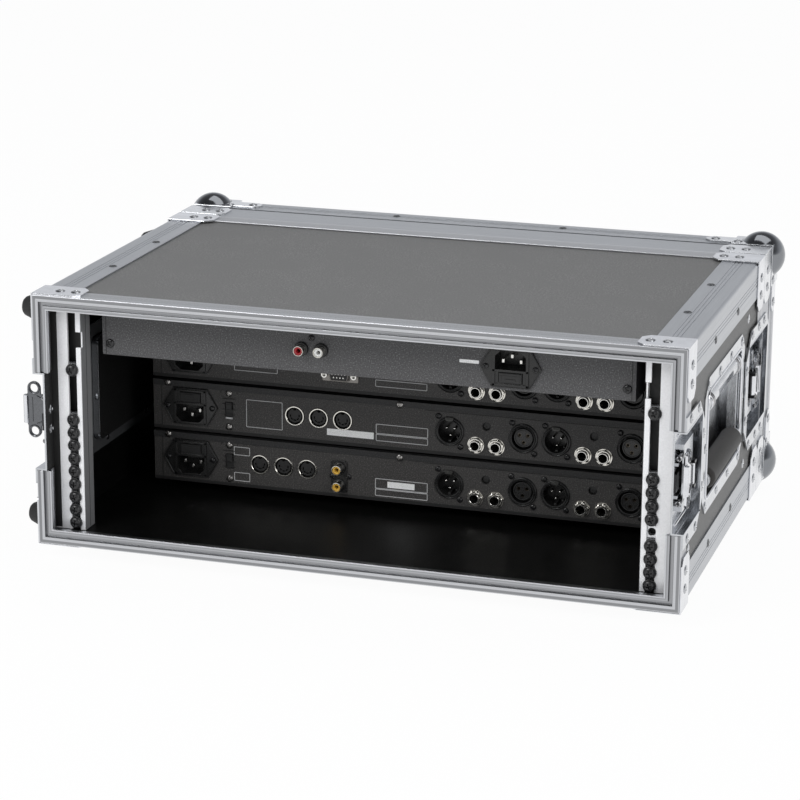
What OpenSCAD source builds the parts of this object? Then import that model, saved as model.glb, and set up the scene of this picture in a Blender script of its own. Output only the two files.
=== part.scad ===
// Double-door 19 inch flight case, 4 rack units high, loaded with four
// 1 unit effects processors. The rear lid is off and the front lid is on.
// Every module draws in case coordinates: X is across from the middle,
// Y runs from the rear edge towards the front lid, Z from the shell's base.

/* [Case] */
// Depth of the body from its rear edge to the lid joint
body_d = 313; // [300:1:420]
// Depth of the front lid
lid_d = 62; // [58:1:90]
// Thickness of the laminated plywood
ply_t = 7; // [6:0.5:9]
// Thickness of the aluminium extrusions' walls
angle_t = 1.5; // [1.2:0.1:2]
// Leg of the edge angles
angle_leg = 30; // [26:1:34]

/* [Opening frames] */
// Length of a frame's flange on the outside of the panels
flange_l = 19; // [15:1:24]
// Length of the lid frame's outer flange
lid_flange_l = 31; // [26:1:31]
// Length of a frame's flange on the inside
lip_l = 11; // [8:0.5:11]
// Width of a frame's face
face_w = 12; // [11:0.5:14]
// Depth of a frame's face, which the panels butt against
web_t = 4; // [3.5:0.25:5]
// Width of the groove that locates the lid
groove_w = 3; // [2:0.25:4]
// Depth of that groove
groove_d = 2.5; // [1:0.25:2.5]

/* [Rack] */
// Distance between the two rows of rack screws
rack_hole_w = 465.1; // [464:0.1:466]
// Height of one rack unit
rack_u = 44.45; // [44:0.05:45]
// Number of rack units
rack_n = 4; // [4:1:4]
// Clear height inside the case beyond the rack units
rack_room = 8.2; // [6:0.1:30]
// Gap between the top unit and the case's top panel
rack_top_gap = 0.5; // [0.5:0.1:3]
// Distance of each rail's face from its end of the body
rail_set = 15; // [14.5:0.5:20]
// Width of a rail's slot
slot_w = 7; // [6.6:0.1:7.5]
// Depth of the rail's inner leg
rail_leg = 18; // [12:1:22]
// Radius of a rack screw's thread
screw_r = 3; // [2.5:0.1:3]
// Radius of a rack screw's head
screw_head_r = 5; // [4.5:0.1:5.1]

/* [Units] */
// Width of a unit's chassis
unit_w = 428; // [420:1:436]
// Height of a unit's chassis
unit_h = 42; // [40:0.5:43]
// Width of a front panel over its ears
ear_w = 482.6; // [480:0.1:484]
// Thickness of a front panel
front_t = 3; // [2:0.5:4]
// Clear width inside the case beyond the front panels
side_room = 17.4; // [5:0.1:40]
// Rear panel of the deep unit, from the case's rear edge
deep_y = 33; // [33:1:60]
// Rear panels of the three short units, from the case's rear edge
short_y = 135; // [100:1:150]
// Sheet thickness of the chassis
sheet_t = 1.2; // [1:0.1:1.5]
// Diameter of a front knob
knob_d = 24; // [18:1:28]
// Travel of a power button
button_travel = 2.5; // [1.5:0.5:3]

/* [Handles and latches] */
// Distance of the handle's middle past the middle of the body
handle_shift = 2; // [-3:0.5:5]
// Width of the dish plate's rim at the handle's ends
handle_rim = 12.5; // [10:0.5:14]
// Height of a handle's dish plate
handle_h = 109; // [100:1:120]
// Depth of a handle's dish
handle_depth = 14; // [13.5:0.5:18]
// Radius of the soft grip
grip_r = 9; // [8:0.5:13]
// How far the grip stands out past the side panel's face
grip_out = 6.2; // [2:0.2:8]
// Length of the soft grip
grip_l = 116; // [100:1:120]
// Length of a latch's plate, inwards from the joint
latch_l = 70; // [66:1:72]
// Height of a latch's plate
latch_h = 102; // [96:1:110]
// Travel of a latch's hook
hook_travel = 12; // [10:0.5:12]
// Thickness of the plated steel plates
plate_t = 1.2; // [1:0.1:1.5]

/* [Corners, feet and rivets] */
// Radius of a ball corner
ball_r = 20; // [18:0.5:22]
// How far a ball stands out from the faces
ball_out = 9; // [7:0.5:10]
// Height of a rubber foot
foot_h = 13; // [11:0.5:15]
// Radius of a rubber foot at its base
foot_r = 17; // [14:0.5:20]
// Height of the small feet on the left side
side_foot_h = 12.5; // [8:0.5:14]
// Radius of the small feet on the left side
side_foot_r = 10.5; // [9:0.5:11]
// Radius of a rivet's head
rivet_r = 3.4; // [2.5:0.1:3.8]
// Height of a rivet's head
rivet_h = 0.9; // [0.6:0.1:1.2]

/* [Clearances] */
// Radial clearance of pins and shafts in their holes
pin_gap = 0.05; // [0.02:0.01:0.1]
// Gap between parts that slide or turn past each other
run_gap = 0.3; // [0.2:0.05:0.4]
// Gap between the lid's tongue and the body's groove, each side
tongue_gap = 0.3; // [0.2:0.05:0.4]
// Gap between stacked units, each side
stack_gap = 0.4; // [0.3:0.1:0.6]

/* [Hidden] */

$fn = 48;
total_d = body_d + lid_d;
case_w = ear_w + side_room + 2 * (ply_t + angle_t);           // over the edge angles
case_h = rack_n * rack_u + rack_room + 2 * (ply_t + angle_t); // over the edge angles
half_w = case_w / 2;
shell_t = ply_t + angle_t;          // wall from outside face to inside face
in_w = case_w - 2 * shell_t;        // clear width between the side panels
in_h = case_h - 2 * shell_t;        // clear height between top and bottom
ply_x = half_w - angle_t;           // outer face of the side plywood
wall_x = half_w - shell_t;          // inner face of the side plywood
floor_z = shell_t;
ceil_z = case_h - shell_t;
corner_r = 3;                       // rounding of the extrusions' outer edge
groove_in = 5.5;                    // groove's edge from the case's outer face
tongue_l = groove_d - 0.5;          // height of the lid's tongue
panel_y0 = web_t;
panel_y1 = body_d - web_t;
stack_z = ceil_z - rack_n * rack_u - rack_top_gap; // bottom of the lowest unit
slot_x = rack_hole_w / 2;
rail_t = 2.5;                       // thickness of a rail's face
front_rail_y = body_d - rail_set;
hole_v = rack_u / 2 - 6.35;         // rack hole above or below a unit's middle
latch_z = case_h / 2 - 1;           // middle of every latch
latch_u = 31;                       // a latch's axis, inwards from the joint
latch_cut = 40;                     // half height of the cut in the frames
tray_w = 62;                        // reach of a latch's tray from the joint
handle_y = body_d / 2 + handle_shift;
handle_z = case_h / 2 + 2;          // middle of both handles
eps = 0.01;
notch_z = ceil_z - 29.2;            // middle of the nuts' way into a rail
nut_t = 5;
brace_l = 28;                       // width of a brace along the case
brace_top_l = 39;
brace_side_l = 42;
brace_taper = 6;
foot_in = 52;                       // a foot's middle from the case's edges
side_foot_y = body_d - 55;          // middle of the far feet on the left side
side_foot_z = [19, case_h - 14];
bow_y = grip_l / 2 + 5;             // a bow's arms from the handle's middle
tray_l = 2 * (bow_y + 6);           // length and height of a handle's tray
tray_h = handle_h - 23;
handle_l = tray_l + 2 * handle_rim; // length of the dish plate
bow_slot_l = 60;                    // slot in the bow's barrel, over the spring
hinge_z = handle_z + tray_h / 2 - 11;
hinge_x = ply_x - 4.5;
hinge_r = 3;
bow_barrel_r = 6.5;
tray_corner = 6;
grip_rod_r = 4;
grip_round = 4;
grip_z = handle_z - tray_h / 2 + grip_r + 5;
grip_x = ply_x + grip_out - grip_r;
tray_half = latch_cut - 0.2;        // half height of a latch's tray
bridge_w = -2.9;
flange_w = -3.95;
disc_top = -1.5;
lobe_r = 5.5;
keeper_w = 27;                      // reach of a keeper's tray into the lid
lid_angle_l = lid_d - lid_flange_l - 3;
cover_lip = 5;
deep_inlet_v = -3;
phono_av = -2.5;
jack_l = 30;                        // depth of a jack's body
jack_bore_r = 3.25;
phono_pin_r = 4.15;
drawer_half = 9;
drawer_v0 = 4;
drawer_v1 = 12;
board_x0 = -140;
trafo_x = -182;
trafo_back = 62;                    // a transformer's middle from the front rail
trafo_core = [40, 40, 24];
trafo_coil = [26, 52, 16];
knob_x = 150;
knob_shaft_r = 3;
button_x = -190;
button_r = 5;

// Heights of the parts inside a latch, from the plywood's outer face.
tray_floor = -ply_t + plate_t;
hook_t = 1.6;
hook_w0 = tray_floor + 0.1;
disc_r = 12;
ecc_r = 1.5;                        // radius of the eccentric pin
ecc_off = hook_travel / 2;
wing_pin_w = 1.2;                   // height of the wing's pin
wing_pin_r = 1.5;
barrel_r = 2.4;
wing_gap = 0.9;                     // between the turning wing and its tray's end
wing_r = tray_w - 0.2 - plate_t - latch_u - wing_gap; // the wing stays inside this
wing_lobe_u = 15;                   // from the wing's pin to its ringed lobes
wing_lobe_v = sqrt(pow(wing_r - lobe_r, 2) - pow(wing_lobe_u, 2)); // from its middle
wing_l = 24;                        // from the wing's pin to its rolled edge
open_reach = ply_x + wing_pin_w + wing_l;

// Places of the connectors on a short unit's rear panel, X and height from
// the middle of its rack unit.
inlet_x = -181;
switch_x = -147.5;
male_x = [41, 129];
female_x = [102, 190];
jack_x = [63, 80, 151, 168];
jack_v = -10;
trim_x = [71.5, 159.5];
trim_v = 6;
din_c = [-90.4, -69.8, -49.2];
din_d = [-120.8, -100.2, -79.6];
phono_x = -52;
phono_v = [4, -10.5];
dsub_x = -51;
dsub_v = -6;
deep_inlet_x = 118;
deep_phono_x = [-48.5, -32.5];
pole_v = -0.8;
pole_r = 10.5;                      // hole for a three pole socket
pole_depth = 18;
jack_r = 4.7;                       // hole for a jack's bush
din_r = 7.6;
phono_r = 4.5;
trim_r = 3.2;
inlet_half = [13.8, 14.2];          // half the hole for a mains inlet
dsub_half = [10, 5.5];

function unit_mid(i) = stack_z + rack_u * (rack_n - i - 0.5);
function unit_y(i) = i == 0 ? deep_y : short_y;
function rear_screw_z(side) = side < 0
    ? concat([140.8], [for (k = [0:8]) 100 - 10.6 * k])
    : concat([148.3], [for (k = [0:8]) if (k != 4) 97.5 - 10.4 * k]);
function rear_nut_z(side) = side < 0 ? rear_screw_z(side)
    : concat([148.3], [for (k = [0:8]) 97.5 - 10.4 * k]);

// The part's own frame: origin on the floor under the middle of the whole
// part, from the open wing's edge to the ball corners.
module placed() {
    translate([(open_reach - half_w - ball_out) / 2, -(total_d + ball_out) / 2, foot_h])
        children();
}

module both_sides() {
    for (s = [0, 1]) mirror([s, 0, 0]) children();
}

// Lays a flat outline drawn in X and Y on to X and Z, extruded along +Y.
module along_y(l) {
    translate([0, l, 0]) rotate([90, 0, 0]) linear_extrude(l) children();
}

// Repeats what is drawn at the top right edge at all four edges.
module four_edges() {
    both_sides() for (m = [0, 1])
        translate([0, 0, m * case_h]) mirror([0, 0, m]) children();
}

module box(lo, hi) {
    translate(lo) cube([hi[0] - lo[0], hi[1] - lo[1], hi[2] - lo[2]]);
}

// A cylinder between two places along Y, with its middle at x, z.
module rod_y(x, z, y0, y1, r) {
    translate([x, y1, z]) rotate([90, 0, 0]) cylinder(h = y1 - y0, r = r);
}

module rounded(w, h, r) {
    square([w - 2 * r, h], center = true);
    square([w, h - 2 * r], center = true);
    for (x = [-1, 1], y = [-1, 1])
        translate([x * (w / 2 - r), y * (h / 2 - r)]) circle(r);
}

module clipped(w, h, c) {
    polygon([[-w / 2 + c, -h / 2], [w / 2 - c, -h / 2], [w / 2, -h / 2 + c], [w / 2, h / 2 - c],
        [w / 2 - c, h / 2], [-w / 2 + c, h / 2], [-w / 2, h / 2 - c], [-w / 2, -h / 2 + c]]);
}

// A rivet's head on a surface at the origin, standing up along +Z.
module rivet() {
    rotate_extrude()
        polygon([[0, 0], [rivet_r, 0], [rivet_r, rivet_h * 0.35],
            [rivet_r * 0.6, rivet_h], [0, rivet_h]]);
}

module rivet_x(x, y, z) {
    translate([x, y, z]) rotate([0, 90, 0]) rivet();
}

// ---- Shell ----

module top_panel() placed() color("dimgray")
    box([-ply_x, panel_y0, ceil_z], [ply_x, panel_y1, ceil_z + ply_t]);

module bottom_panel() placed() color("dimgray")
    box([-ply_x, panel_y0, angle_t], [ply_x, panel_y1, floor_z]);

// Side plywood on the right, with the cuts for two latches and the handle.
module side_ply() difference() {
    box([wall_x, panel_y0, floor_z], [ply_x, panel_y1, ceil_z]);
    for (y = [0, body_d - tray_w])
        box([wall_x - 1, y, latch_z - latch_cut], [ply_x + 1, y + tray_w, latch_z + latch_cut]);
    translate([wall_x - 1, handle_y, handle_z]) rotate([90, 0, 90])
        linear_extrude(ply_t + 2) rounded(tray_l + 1, tray_h + 1, tray_corner);
}

module left_panel() placed() color("dimgray") mirror([1, 0, 0]) side_ply();
module right_panel() placed() color("dimgray") side_ply();

// Outline of one edge angle, its outer corner at the origin, legs along +X
// and +Y, with a rounded corner and three shallow lines along each leg.
module angle_outline(leg_x, leg_y) difference() {
    union() {
        translate([corner_r, 0]) square([leg_x - corner_r, leg_y]);
        translate([0, corner_r]) square([corner_r, leg_y - corner_r]);
        translate([corner_r, corner_r]) circle(corner_r);
    }
    translate([angle_t, angle_t]) square([leg_x, leg_y]);
    for (k = [0:2]) {
        translate([leg_x * 0.4 + 3 * k, -0.1]) square([0.8, 0.5]);
        translate([-0.1, leg_y * 0.4 + 3 * k]) square([0.5, 0.8]);
    }
}

module edge_angles() placed() color("silver") both_sides() {
    for (m = [0, 1])
        translate([0, flange_l, m * case_h]) mirror([0, 0, m])
            translate([-half_w, 0, 0]) along_y(body_d - 2 * flange_l)
                angle_outline(angle_leg, angle_leg);
}

// One bar of an opening frame as an outline: X is the distance away from the
// joint, Y the distance inwards from the case's outer face. The body's bars
// have a groove, and the lid's bars have the tongue that enters it.
module bar_outline(outer_l, groove) difference() {
    union() {
        square([outer_l, angle_t]);
        square([web_t, face_w]);
        translate([0, shell_t]) square([lip_l, angle_t]);
        if (!groove) translate([-tongue_l, groove_in + tongue_gap])
            square([tongue_l + 1, groove_w - 2 * tongue_gap]);
    }
    if (groove) translate([-1, groove_in]) square([1 + groove_d, groove_w]);
}

// Four mitred bars round the opening, the joint's plane at Y = 0.
module frame_ring(outer_l, groove) {
    // Bars along the top and the bottom
    for (m = [0, 1]) translate([0, 0, m * case_h]) mirror([0, 0, m])
        intersection() {
            translate([-half_w, 0, 0]) rotate([90, 0, 90])
                linear_extrude(case_w) bar_outline(outer_l, groove);
            translate([0, -tongue_l, 0]) along_y(outer_l + 2 * tongue_l)
                polygon([[-half_w, 0], [half_w, 0],
                    [half_w - face_w, face_w], [face_w - half_w, face_w]]);
        }
    // Bars up the sides, cut for the latches
    both_sides() intersection() {
        translate([half_w, 0, 0]) mirror([1, 0, 0]) difference() {
            linear_extrude(case_h) rotate(90) mirror([0, 1]) bar_outline(outer_l, groove);
            translate([-1, -tongue_l - 1, latch_z - latch_cut])
                cube([face_w + 2, outer_l + tongue_l + 2, 2 * latch_cut]);
        }
        translate([0, -tongue_l, 0]) along_y(outer_l + 2 * tongue_l)
            polygon([[half_w, 0], [half_w, case_h],
                [half_w - face_w, case_h - face_w], [half_w - face_w, face_w]]);
    }
}

module opening_frames() placed() color("silver") {
    frame_ring(flange_l, true);
    translate([0, body_d, 0]) mirror([0, 1, 0]) frame_ring(flange_l, true);
}

// An L-shaped plate over the top right edge, from y0 on.
module brace(y0) {
    translate([half_w + plate_t, y0, case_h]) rotate(90) linear_extrude(plate_t)
        brace_leg(brace_top_l + plate_t);
    translate([half_w, y0, case_h + eps]) rotate([90, 0, 90]) linear_extrude(plate_t)
        mirror([0, 1]) brace_leg(brace_side_l + eps);
}

// One leg's outline, narrowed at its end: X along the case, Y away from the edge.
module brace_leg(l) polygon([[0, 0], [brace_l, 0], [brace_l, l - brace_taper],
    [brace_l - brace_taper, l], [brace_taper, l], [0, l - brace_taper]]);

brace_ys = [0.5, body_d - 0.5 - brace_l];
lid_brace_y = body_d + 1;
lid_rivet_in = [50, 14];            // a lid rivet from the side and from the face
lid_corner_rivet = [30, 19];
brace_rivet_x = [18, 31];           // rivets from the side, on the top leg
brace_rivet_z = [15, 29.5];          // rivets from the top, on the side leg
rail_rivet_z = [40, case_h - 40];   // the rails' own rivets
rail_rivet_y = [33, body_d - 56];
rail_wall_l = (body_d - handle_l) / 2 - rail_set - 10; // leg along the side wall

module corner_braces() placed() color("gainsboro") four_edges()
    for (y = brace_ys) brace(y);

module brace_rivets(y, zs) {
    for (x = brace_rivet_x) translate([half_w - x, y + brace_l / 2, case_h + plate_t]) rivet();
    for (z = zs) rivet_x(half_w + plate_t, y + brace_l / 2, case_h - z);
}

function latch_rivets() = [for (v = [-1, 1]) each
    [[16, v * (latch_h / 2 - 4.5)], [46, v * (latch_h / 2 - 4.5)],
     [latch_l - 4.1, v * (latch_h / 2 - 30)]]];

function handle_rivets() = [for (v = [-1, 1]) each
    [[-tray_l / 2, v * (handle_h / 2 - 6.5)], [-tray_l / 6, v * (handle_h / 2 - 6.5)],
     [tray_l / 6, v * (handle_h / 2 - 6.5)], [tray_l / 2, v * (handle_h / 2 - 6.5)],
     [v * (handle_l / 2 - 6.5), 0]]];

module case_rivets() placed() color("gray") {
    // On the braces; the near left feet take the place of some rivets
    both_sides() for (m = [0, 1]) translate([0, 0, m * case_h]) mirror([0, 0, m])
        brace_rivets(brace_ys[1], brace_rivet_z);
    for (m = [0, 1]) translate([0, 0, m * case_h]) mirror([0, 0, m]) {
        brace_rivets(brace_ys[0], brace_rivet_z);
        mirror([1, 0, 0]) brace_rivets(brace_ys[0], m == 0 ? [brace_rivet_z[1]] : []);
    }
    // On the edge angles
    four_edges() for (y = [body_d * 0.345, body_d * 0.64]) {
        translate([half_w - 22.5, y, case_h]) rivet();
        rivet_x(half_w, y, case_h - 20);
    }
    both_sides() {
        for (p = handle_rivets())
            rivet_x(ply_x + plate_t, handle_y + p[0], handle_z + p[1]);
        for (y = rail_rivet_y, z = rail_rivet_z) rivet_x(ply_x, y, z);
        for (m = [0, 1]) translate([0, m * body_d, 0]) mirror([0, m, 0]) {
            for (p = latch_rivets()) rivet_x(half_w + plate_t, p[0], latch_z + p[1]);
            // Inside, behind the latch's edge
            for (v = [-8, 8])
                translate([wall_x, 11, latch_z + v]) rotate([0, -90, 0]) rivet();
        }
    }
}

// ---- Rack rails and their screws ----

// Outline of a rail: X inwards from the side wall, Y back from its face.
module rail_outline() {
    slot_c = wall_x - slot_x;
    square([slot_c - slot_w / 2, rail_t]);
    translate([slot_c + slot_w / 2, 0]) square([4.5, rail_t]);
    translate([slot_c + slot_w / 2 + 3, 0]) square([1.5, rail_leg]);
    square([1.5, rail_wall_l]);
    translate([0, rail_t + 7]) square([slot_c + slot_w / 2 + 4, 1.5]);
}

module rear_rail() translate([wall_x, rail_set, 0]) mirror([1, 0, 0]) difference() {
    translate([0, 0, floor_z + 0.5]) linear_extrude(in_h - 1) rail_outline();
    translate([wall_x - slot_x, -1, notch_z - 6.3]) cube([12, rail_t + 2, 12.6]);
}

module rack_rails() placed() color("silver") both_sides() {
    rear_rail();
    translate([0, body_d, 0]) mirror([0, 1, 0]) rear_rail();
}

// A pan head screw, its head's underside at Y = 0 and its thread along +Y.
module rack_screw(l) {
    difference() {
        rod_y(0, 0, -3.6, 0, screw_head_r);
        for (a = [45, 135]) rotate([0, a, 0]) translate([-3, -4.6, -0.6]) cube([6, 2.8, 1.2]);
    }
    rod_y(0, 0, -eps, l, screw_r);
}

module at_rear_rail(zs) {
    for (z = zs) translate([slot_x, rail_set, z]) children();
}

module at_front_rail() {
    both_sides() for (i = [0:rack_n - 1], v = [-1, 1])
        translate([slot_x, front_rail_y, unit_mid(i) + v * hole_v]) mirror([0, 1, 0]) children();
}

module rack_screws() placed() color([0.15, 0.15, 0.15]) {
    at_rear_rail(rear_screw_z(1)) rack_screw(9);
    mirror([1, 0, 0]) at_rear_rail(rear_screw_z(-1)) rack_screw(9);
    at_front_rail() translate([0, -front_t, 0]) rack_screw(6 + front_t);
}

module nut() difference() {
    translate([-5.2, rail_t, -4.9]) cube([10.4, nut_t, 9.8]);
    rod_y(0, 0, rail_t - 1, rail_t + nut_t + 1, screw_r + pin_gap);
}

module rack_nuts() placed() color("silver") {
    at_rear_rail(rear_nut_z(1)) nut();
    mirror([1, 0, 0]) at_rear_rail(rear_nut_z(-1)) nut();
    at_front_rail() nut();
}

// ---- Feet ----

// A foot hanging down from its base at the origin.
module foot(r, h) rotate([180, 0, 0]) rotate_extrude()
    polygon([[0, 0], [r, 0], [r, h * 0.3], [r - 3, h - 1.5], [r - 4.5, h],
        [r * 0.28, h], [r * 0.28, h - 3], [0, h - 3]]);

module rubber_feet() placed() color([0.1, 0.1, 0.1]) {
    for (x = [-1, 1], y = [foot_in, body_d - foot_in])
        translate([x * (half_w - foot_in), y, angle_t]) foot(foot_r, foot_h + angle_t);
    // On the left side, for standing the case on its end
    for (z = side_foot_z) {
        translate([-half_w - plate_t, brace_ys[0] + brace_l / 2 + 3, z]) rotate([0, 90, 0])
            foot(side_foot_r, side_foot_h);
        translate([-half_w, side_foot_y, z]) rotate([0, 90, 0])
            foot(side_foot_r, side_foot_h + plate_t);
    }
}

// ---- Handles ----

module handle_dish() {
    difference() {
        union() {
            translate([ply_x, handle_y, handle_z]) rotate([90, 0, 90])
                linear_extrude(plate_t) clipped(handle_l, handle_h, 14);
            translate([ply_x - handle_depth, handle_y, handle_z]) rotate([90, 0, 90])
                linear_extrude(handle_depth + eps) rounded(tray_l, tray_h, tray_corner);
        }
        translate([ply_x - handle_depth + plate_t, handle_y, handle_z]) rotate([90, 0, 90])
            linear_extrude(handle_depth + 5)
                rounded(tray_l - 2 * plate_t, tray_h - 2 * plate_t, tray_corner - plate_t);
    }
    rod_y(hinge_x, hinge_z, handle_y - tray_l / 2 + plate_t / 2,
        handle_y + tray_l / 2 - plate_t / 2, hinge_r);
}

module left_handle_dish() placed() color("gainsboro") mirror([1, 0, 0]) handle_dish();
module right_handle_dish() placed() color("gainsboro") handle_dish();

module handle_backplates() placed() color("slategray") both_sides()
    translate([wall_x - 1.5, handle_y, handle_z]) rotate([90, 0, 90]) linear_extrude(1.5)
        difference() {
            rounded(handle_l, handle_h, 6);
            rounded(tray_l + 1, tray_h + 1, tray_corner);
        }

// The bow turns on the dish's pin and carries the grip on its cross rod.
module handle_bow() difference() {
    union() {
        rod_y(hinge_x, hinge_z, handle_y - bow_y - 3, handle_y + bow_y + 3, bow_barrel_r);
        for (s = [-1, 1]) {
            box([hinge_x - 3.5, handle_y + s * bow_y - 2.5, grip_z],
                [hinge_x + 3.5, handle_y + s * bow_y + 2.5, hinge_z]);
            rod_y(grip_x, grip_z, handle_y + s * bow_y - 2.5, handle_y + s * bow_y + 2.5, 6);
        }
        rod_y(grip_x, grip_z, handle_y - bow_y, handle_y + bow_y, grip_rod_r);
    }
    rod_y(hinge_x, hinge_z, handle_y - tray_l, handle_y + tray_l, hinge_r + pin_gap);
    // Slot in the barrel, over the spring
    box([hinge_x + 1, handle_y - bow_slot_l / 2, hinge_z - 2.5],
        [hinge_x + bow_barrel_r + 1, handle_y + bow_slot_l / 2, hinge_z + 2.5]);
}

module left_handle_bow() placed() color("silver") mirror([1, 0, 0]) handle_bow();
module right_handle_bow() placed() color("silver") handle_bow();

module handle_grip() translate([grip_x, handle_y, grip_z]) rotate([90, 0, 0])
    rotate_extrude() difference() {
        union() {
            translate([0, -grip_l / 2 + grip_round]) square([grip_r, grip_l - 2 * grip_round]);
            translate([0, -grip_l / 2]) square([grip_r - grip_round, grip_l]);
            for (s = [-1, 1]) translate([grip_r - grip_round, s * (grip_l / 2 - grip_round)])
                circle(grip_round);
        }
        translate([-grip_r, -grip_l]) square([grip_r + grip_rod_r + pin_gap, 2 * grip_l]);
    }

module left_handle_grip() placed() color([0.2, 0.17, 0.15]) mirror([1, 0, 0]) handle_grip();
module right_handle_grip() placed() color([0.2, 0.17, 0.15]) handle_grip();

// ---- Latches ----
// Inside a latch, X is the distance inwards from the joint, Y is up and Z is
// outwards from the plywood's face.

module latch_at(front) translate([ply_x, front ? body_d : 0, latch_z])
    mirror([0, front ? 1 : 0, 0]) rotate([90, 0, 90]) children();

module latch_plate(l, clip) difference() {
    union() {
        translate([0, 0, angle_t]) linear_extrude(plate_t) polygon([[0, -latch_h / 2],
            [l - clip, -latch_h / 2], [l, clip - latch_h / 2], [l, latch_h / 2 - clip],
            [l - clip, latch_h / 2], [0, latch_h / 2]]);
        children(0);
    }
    children(1);
}

module latch_dish() {
    latch_plate(latch_l, 21) {
        box([0, -tray_half, -ply_t], [tray_w - 0.2, tray_half, angle_t + eps]);
        union() {
            box([plate_t, plate_t - tray_half, tray_floor],
                [tray_w - 0.2 - plate_t, tray_half - plate_t, angle_t + plate_t + 1]);
            // The end that meets the lid is open, for the hook
            box([-1, plate_t - tray_half, tray_floor],
                [plate_t + 1, tray_half - plate_t, angle_t + plate_t + 1]);
        }
    }
    // Bridge that the spindle turns in, on two legs
    difference() {
        box([latch_u - 16, -26, bridge_w], [latch_u + 16, 26, bridge_w + 1.2]);
        translate([latch_u, 0, bridge_w - 1]) cylinder(h = 4, r = disc_r + pin_gap);
    }
    for (s = [-1, 1]) {
        box([latch_u - 16, s * 24 - 2, tray_floor - eps], [latch_u + 16, s * 24 + 2, bridge_w + eps]);
        // Guides beside the hook
        box([latch_u - 24, s * 12.6 - 1.2, tray_floor - eps],
            [latch_u + 13, s * 12.6 + 1.2, tray_floor + hook_t]);
    }
}

module latch_dishes() placed() color("gainsboro") both_sides()
    for (f = [false, true]) latch_at(f) latch_dish();

// Disc with the lugs and pin of the wing on top and an eccentric pin below.
module spindle() translate([latch_u, 0, 0]) {
    translate([0, 0, flange_w]) cylinder(h = 0.8, r = disc_r + 1.5);
    translate([0, 0, flange_w]) cylinder(h = disc_top - flange_w, r = disc_r);
    translate([ecc_off, 0, tray_floor + 0.2])
        cylinder(h = flange_w - tray_floor, r = ecc_r);
    for (s = [-1, 1])
        box([-2.9, s * 9.5 - 1.1, disc_top - eps], [2.9, s * 9.5 + 1.1, wing_pin_w + 2.9]);
    translate([0, 9, wing_pin_w]) rotate([90, 0, 0]) cylinder(h = 18, r = wing_pin_r);
}

// The wing, lying flat towards the joint: two ringed lobes and a rolled edge.
module wing_shape() {
    difference() {
        union() {
            translate([0, 8.1, 0]) rotate([90, 0, 0]) cylinder(h = 16.2, r = barrel_r);
            translate([0, 0, -1]) linear_extrude(2) difference() {
                union() {
                    translate([-9.5, -8]) square([9.5, 16]);
                    translate([3 - wing_l, -13]) square([wing_l - 11, 26]);
                    for (s = [-1, 1]) translate([-wing_lobe_u, s * wing_lobe_v]) {
                        circle(lobe_r);
                        translate([-lobe_r, s > 0 ? -6 : 0]) square([2 * lobe_r, 6]);
                    }
                }
                for (s = [-1, 1]) translate([-wing_lobe_u, s * wing_lobe_v])
                    circle(lobe_r - 2);
            }
            box([-wing_l, -11.5, -1.2], [4 - wing_l, 11.5, 2.2]);
        }
        translate([0, 10, 0]) rotate([90, 0, 0]) cylinder(h = 20, r = wing_pin_r + pin_gap);
    }
}

module wing(open) translate([latch_u, 0, wing_pin_w]) rotate([0, open, 0]) wing_shape();

module hook() difference() {
    union() {
        box([latch_u - 14, -11, hook_w0], [latch_u + 12, 11, hook_w0 + hook_t]);
        box([0.3, -7, hook_w0], [latch_u - 13, 7, hook_w0 + hook_t]);
    }
    box([latch_u + ecc_off - ecc_r - 1.4, -ecc_off - ecc_r - 0.3, hook_w0 - 1],
        [latch_u + ecc_off + ecc_r + 1.4, ecc_off + ecc_r + 0.3, hook_w0 + hook_t + 1]);
}

module rear_left_spindle() placed() color("gray") mirror([1, 0, 0]) latch_at(false) spindle();
module rear_left_wing() placed() color("silver") mirror([1, 0, 0]) latch_at(false) wing(90);
module rear_left_hook() placed() color("gray") mirror([1, 0, 0]) latch_at(false) hook();
module rear_right_spindle() placed() color("gray") latch_at(false) spindle();
module rear_right_wing() placed() color("silver") latch_at(false) wing(0);
module rear_right_hook() placed() color("gray") latch_at(false) hook();
module front_left_spindle() placed() color("gray") mirror([1, 0, 0]) latch_at(true) spindle();
module front_left_wing() placed() color("silver") mirror([1, 0, 0]) latch_at(true) wing(0);
module front_left_hook() placed() color("gray") mirror([1, 0, 0]) latch_at(true) hook();
module front_right_spindle() placed() color("gray") latch_at(true) spindle();
module front_right_wing() placed() color("silver") latch_at(true) wing(0);
module front_right_hook() placed() color("gray") latch_at(true) hook();

// ---- Lid ----

module lid_panel() placed() color("dimgray")
    box([-ply_x, total_d - shell_t, angle_t], [ply_x, total_d - angle_t, case_h - angle_t]);

module lid_rim_boards() placed() color("dimgray") {
    y0 = body_d + web_t;
    y1 = total_d - shell_t;
    for (z = [angle_t, ceil_z]) box([-ply_x, y0, z], [ply_x, y1, z + ply_t]);
    both_sides() difference() {
        box([wall_x, y0, floor_z], [ply_x, y1, ceil_z]);
        box([wall_x - 1, y0 - 1, latch_z - latch_cut],
            [ply_x + 1, body_d + keeper_w, latch_z + latch_cut]);
    }
}

module lid_frame() placed() color("silver")
    translate([0, body_d, 0]) frame_ring(lid_flange_l, false);

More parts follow.
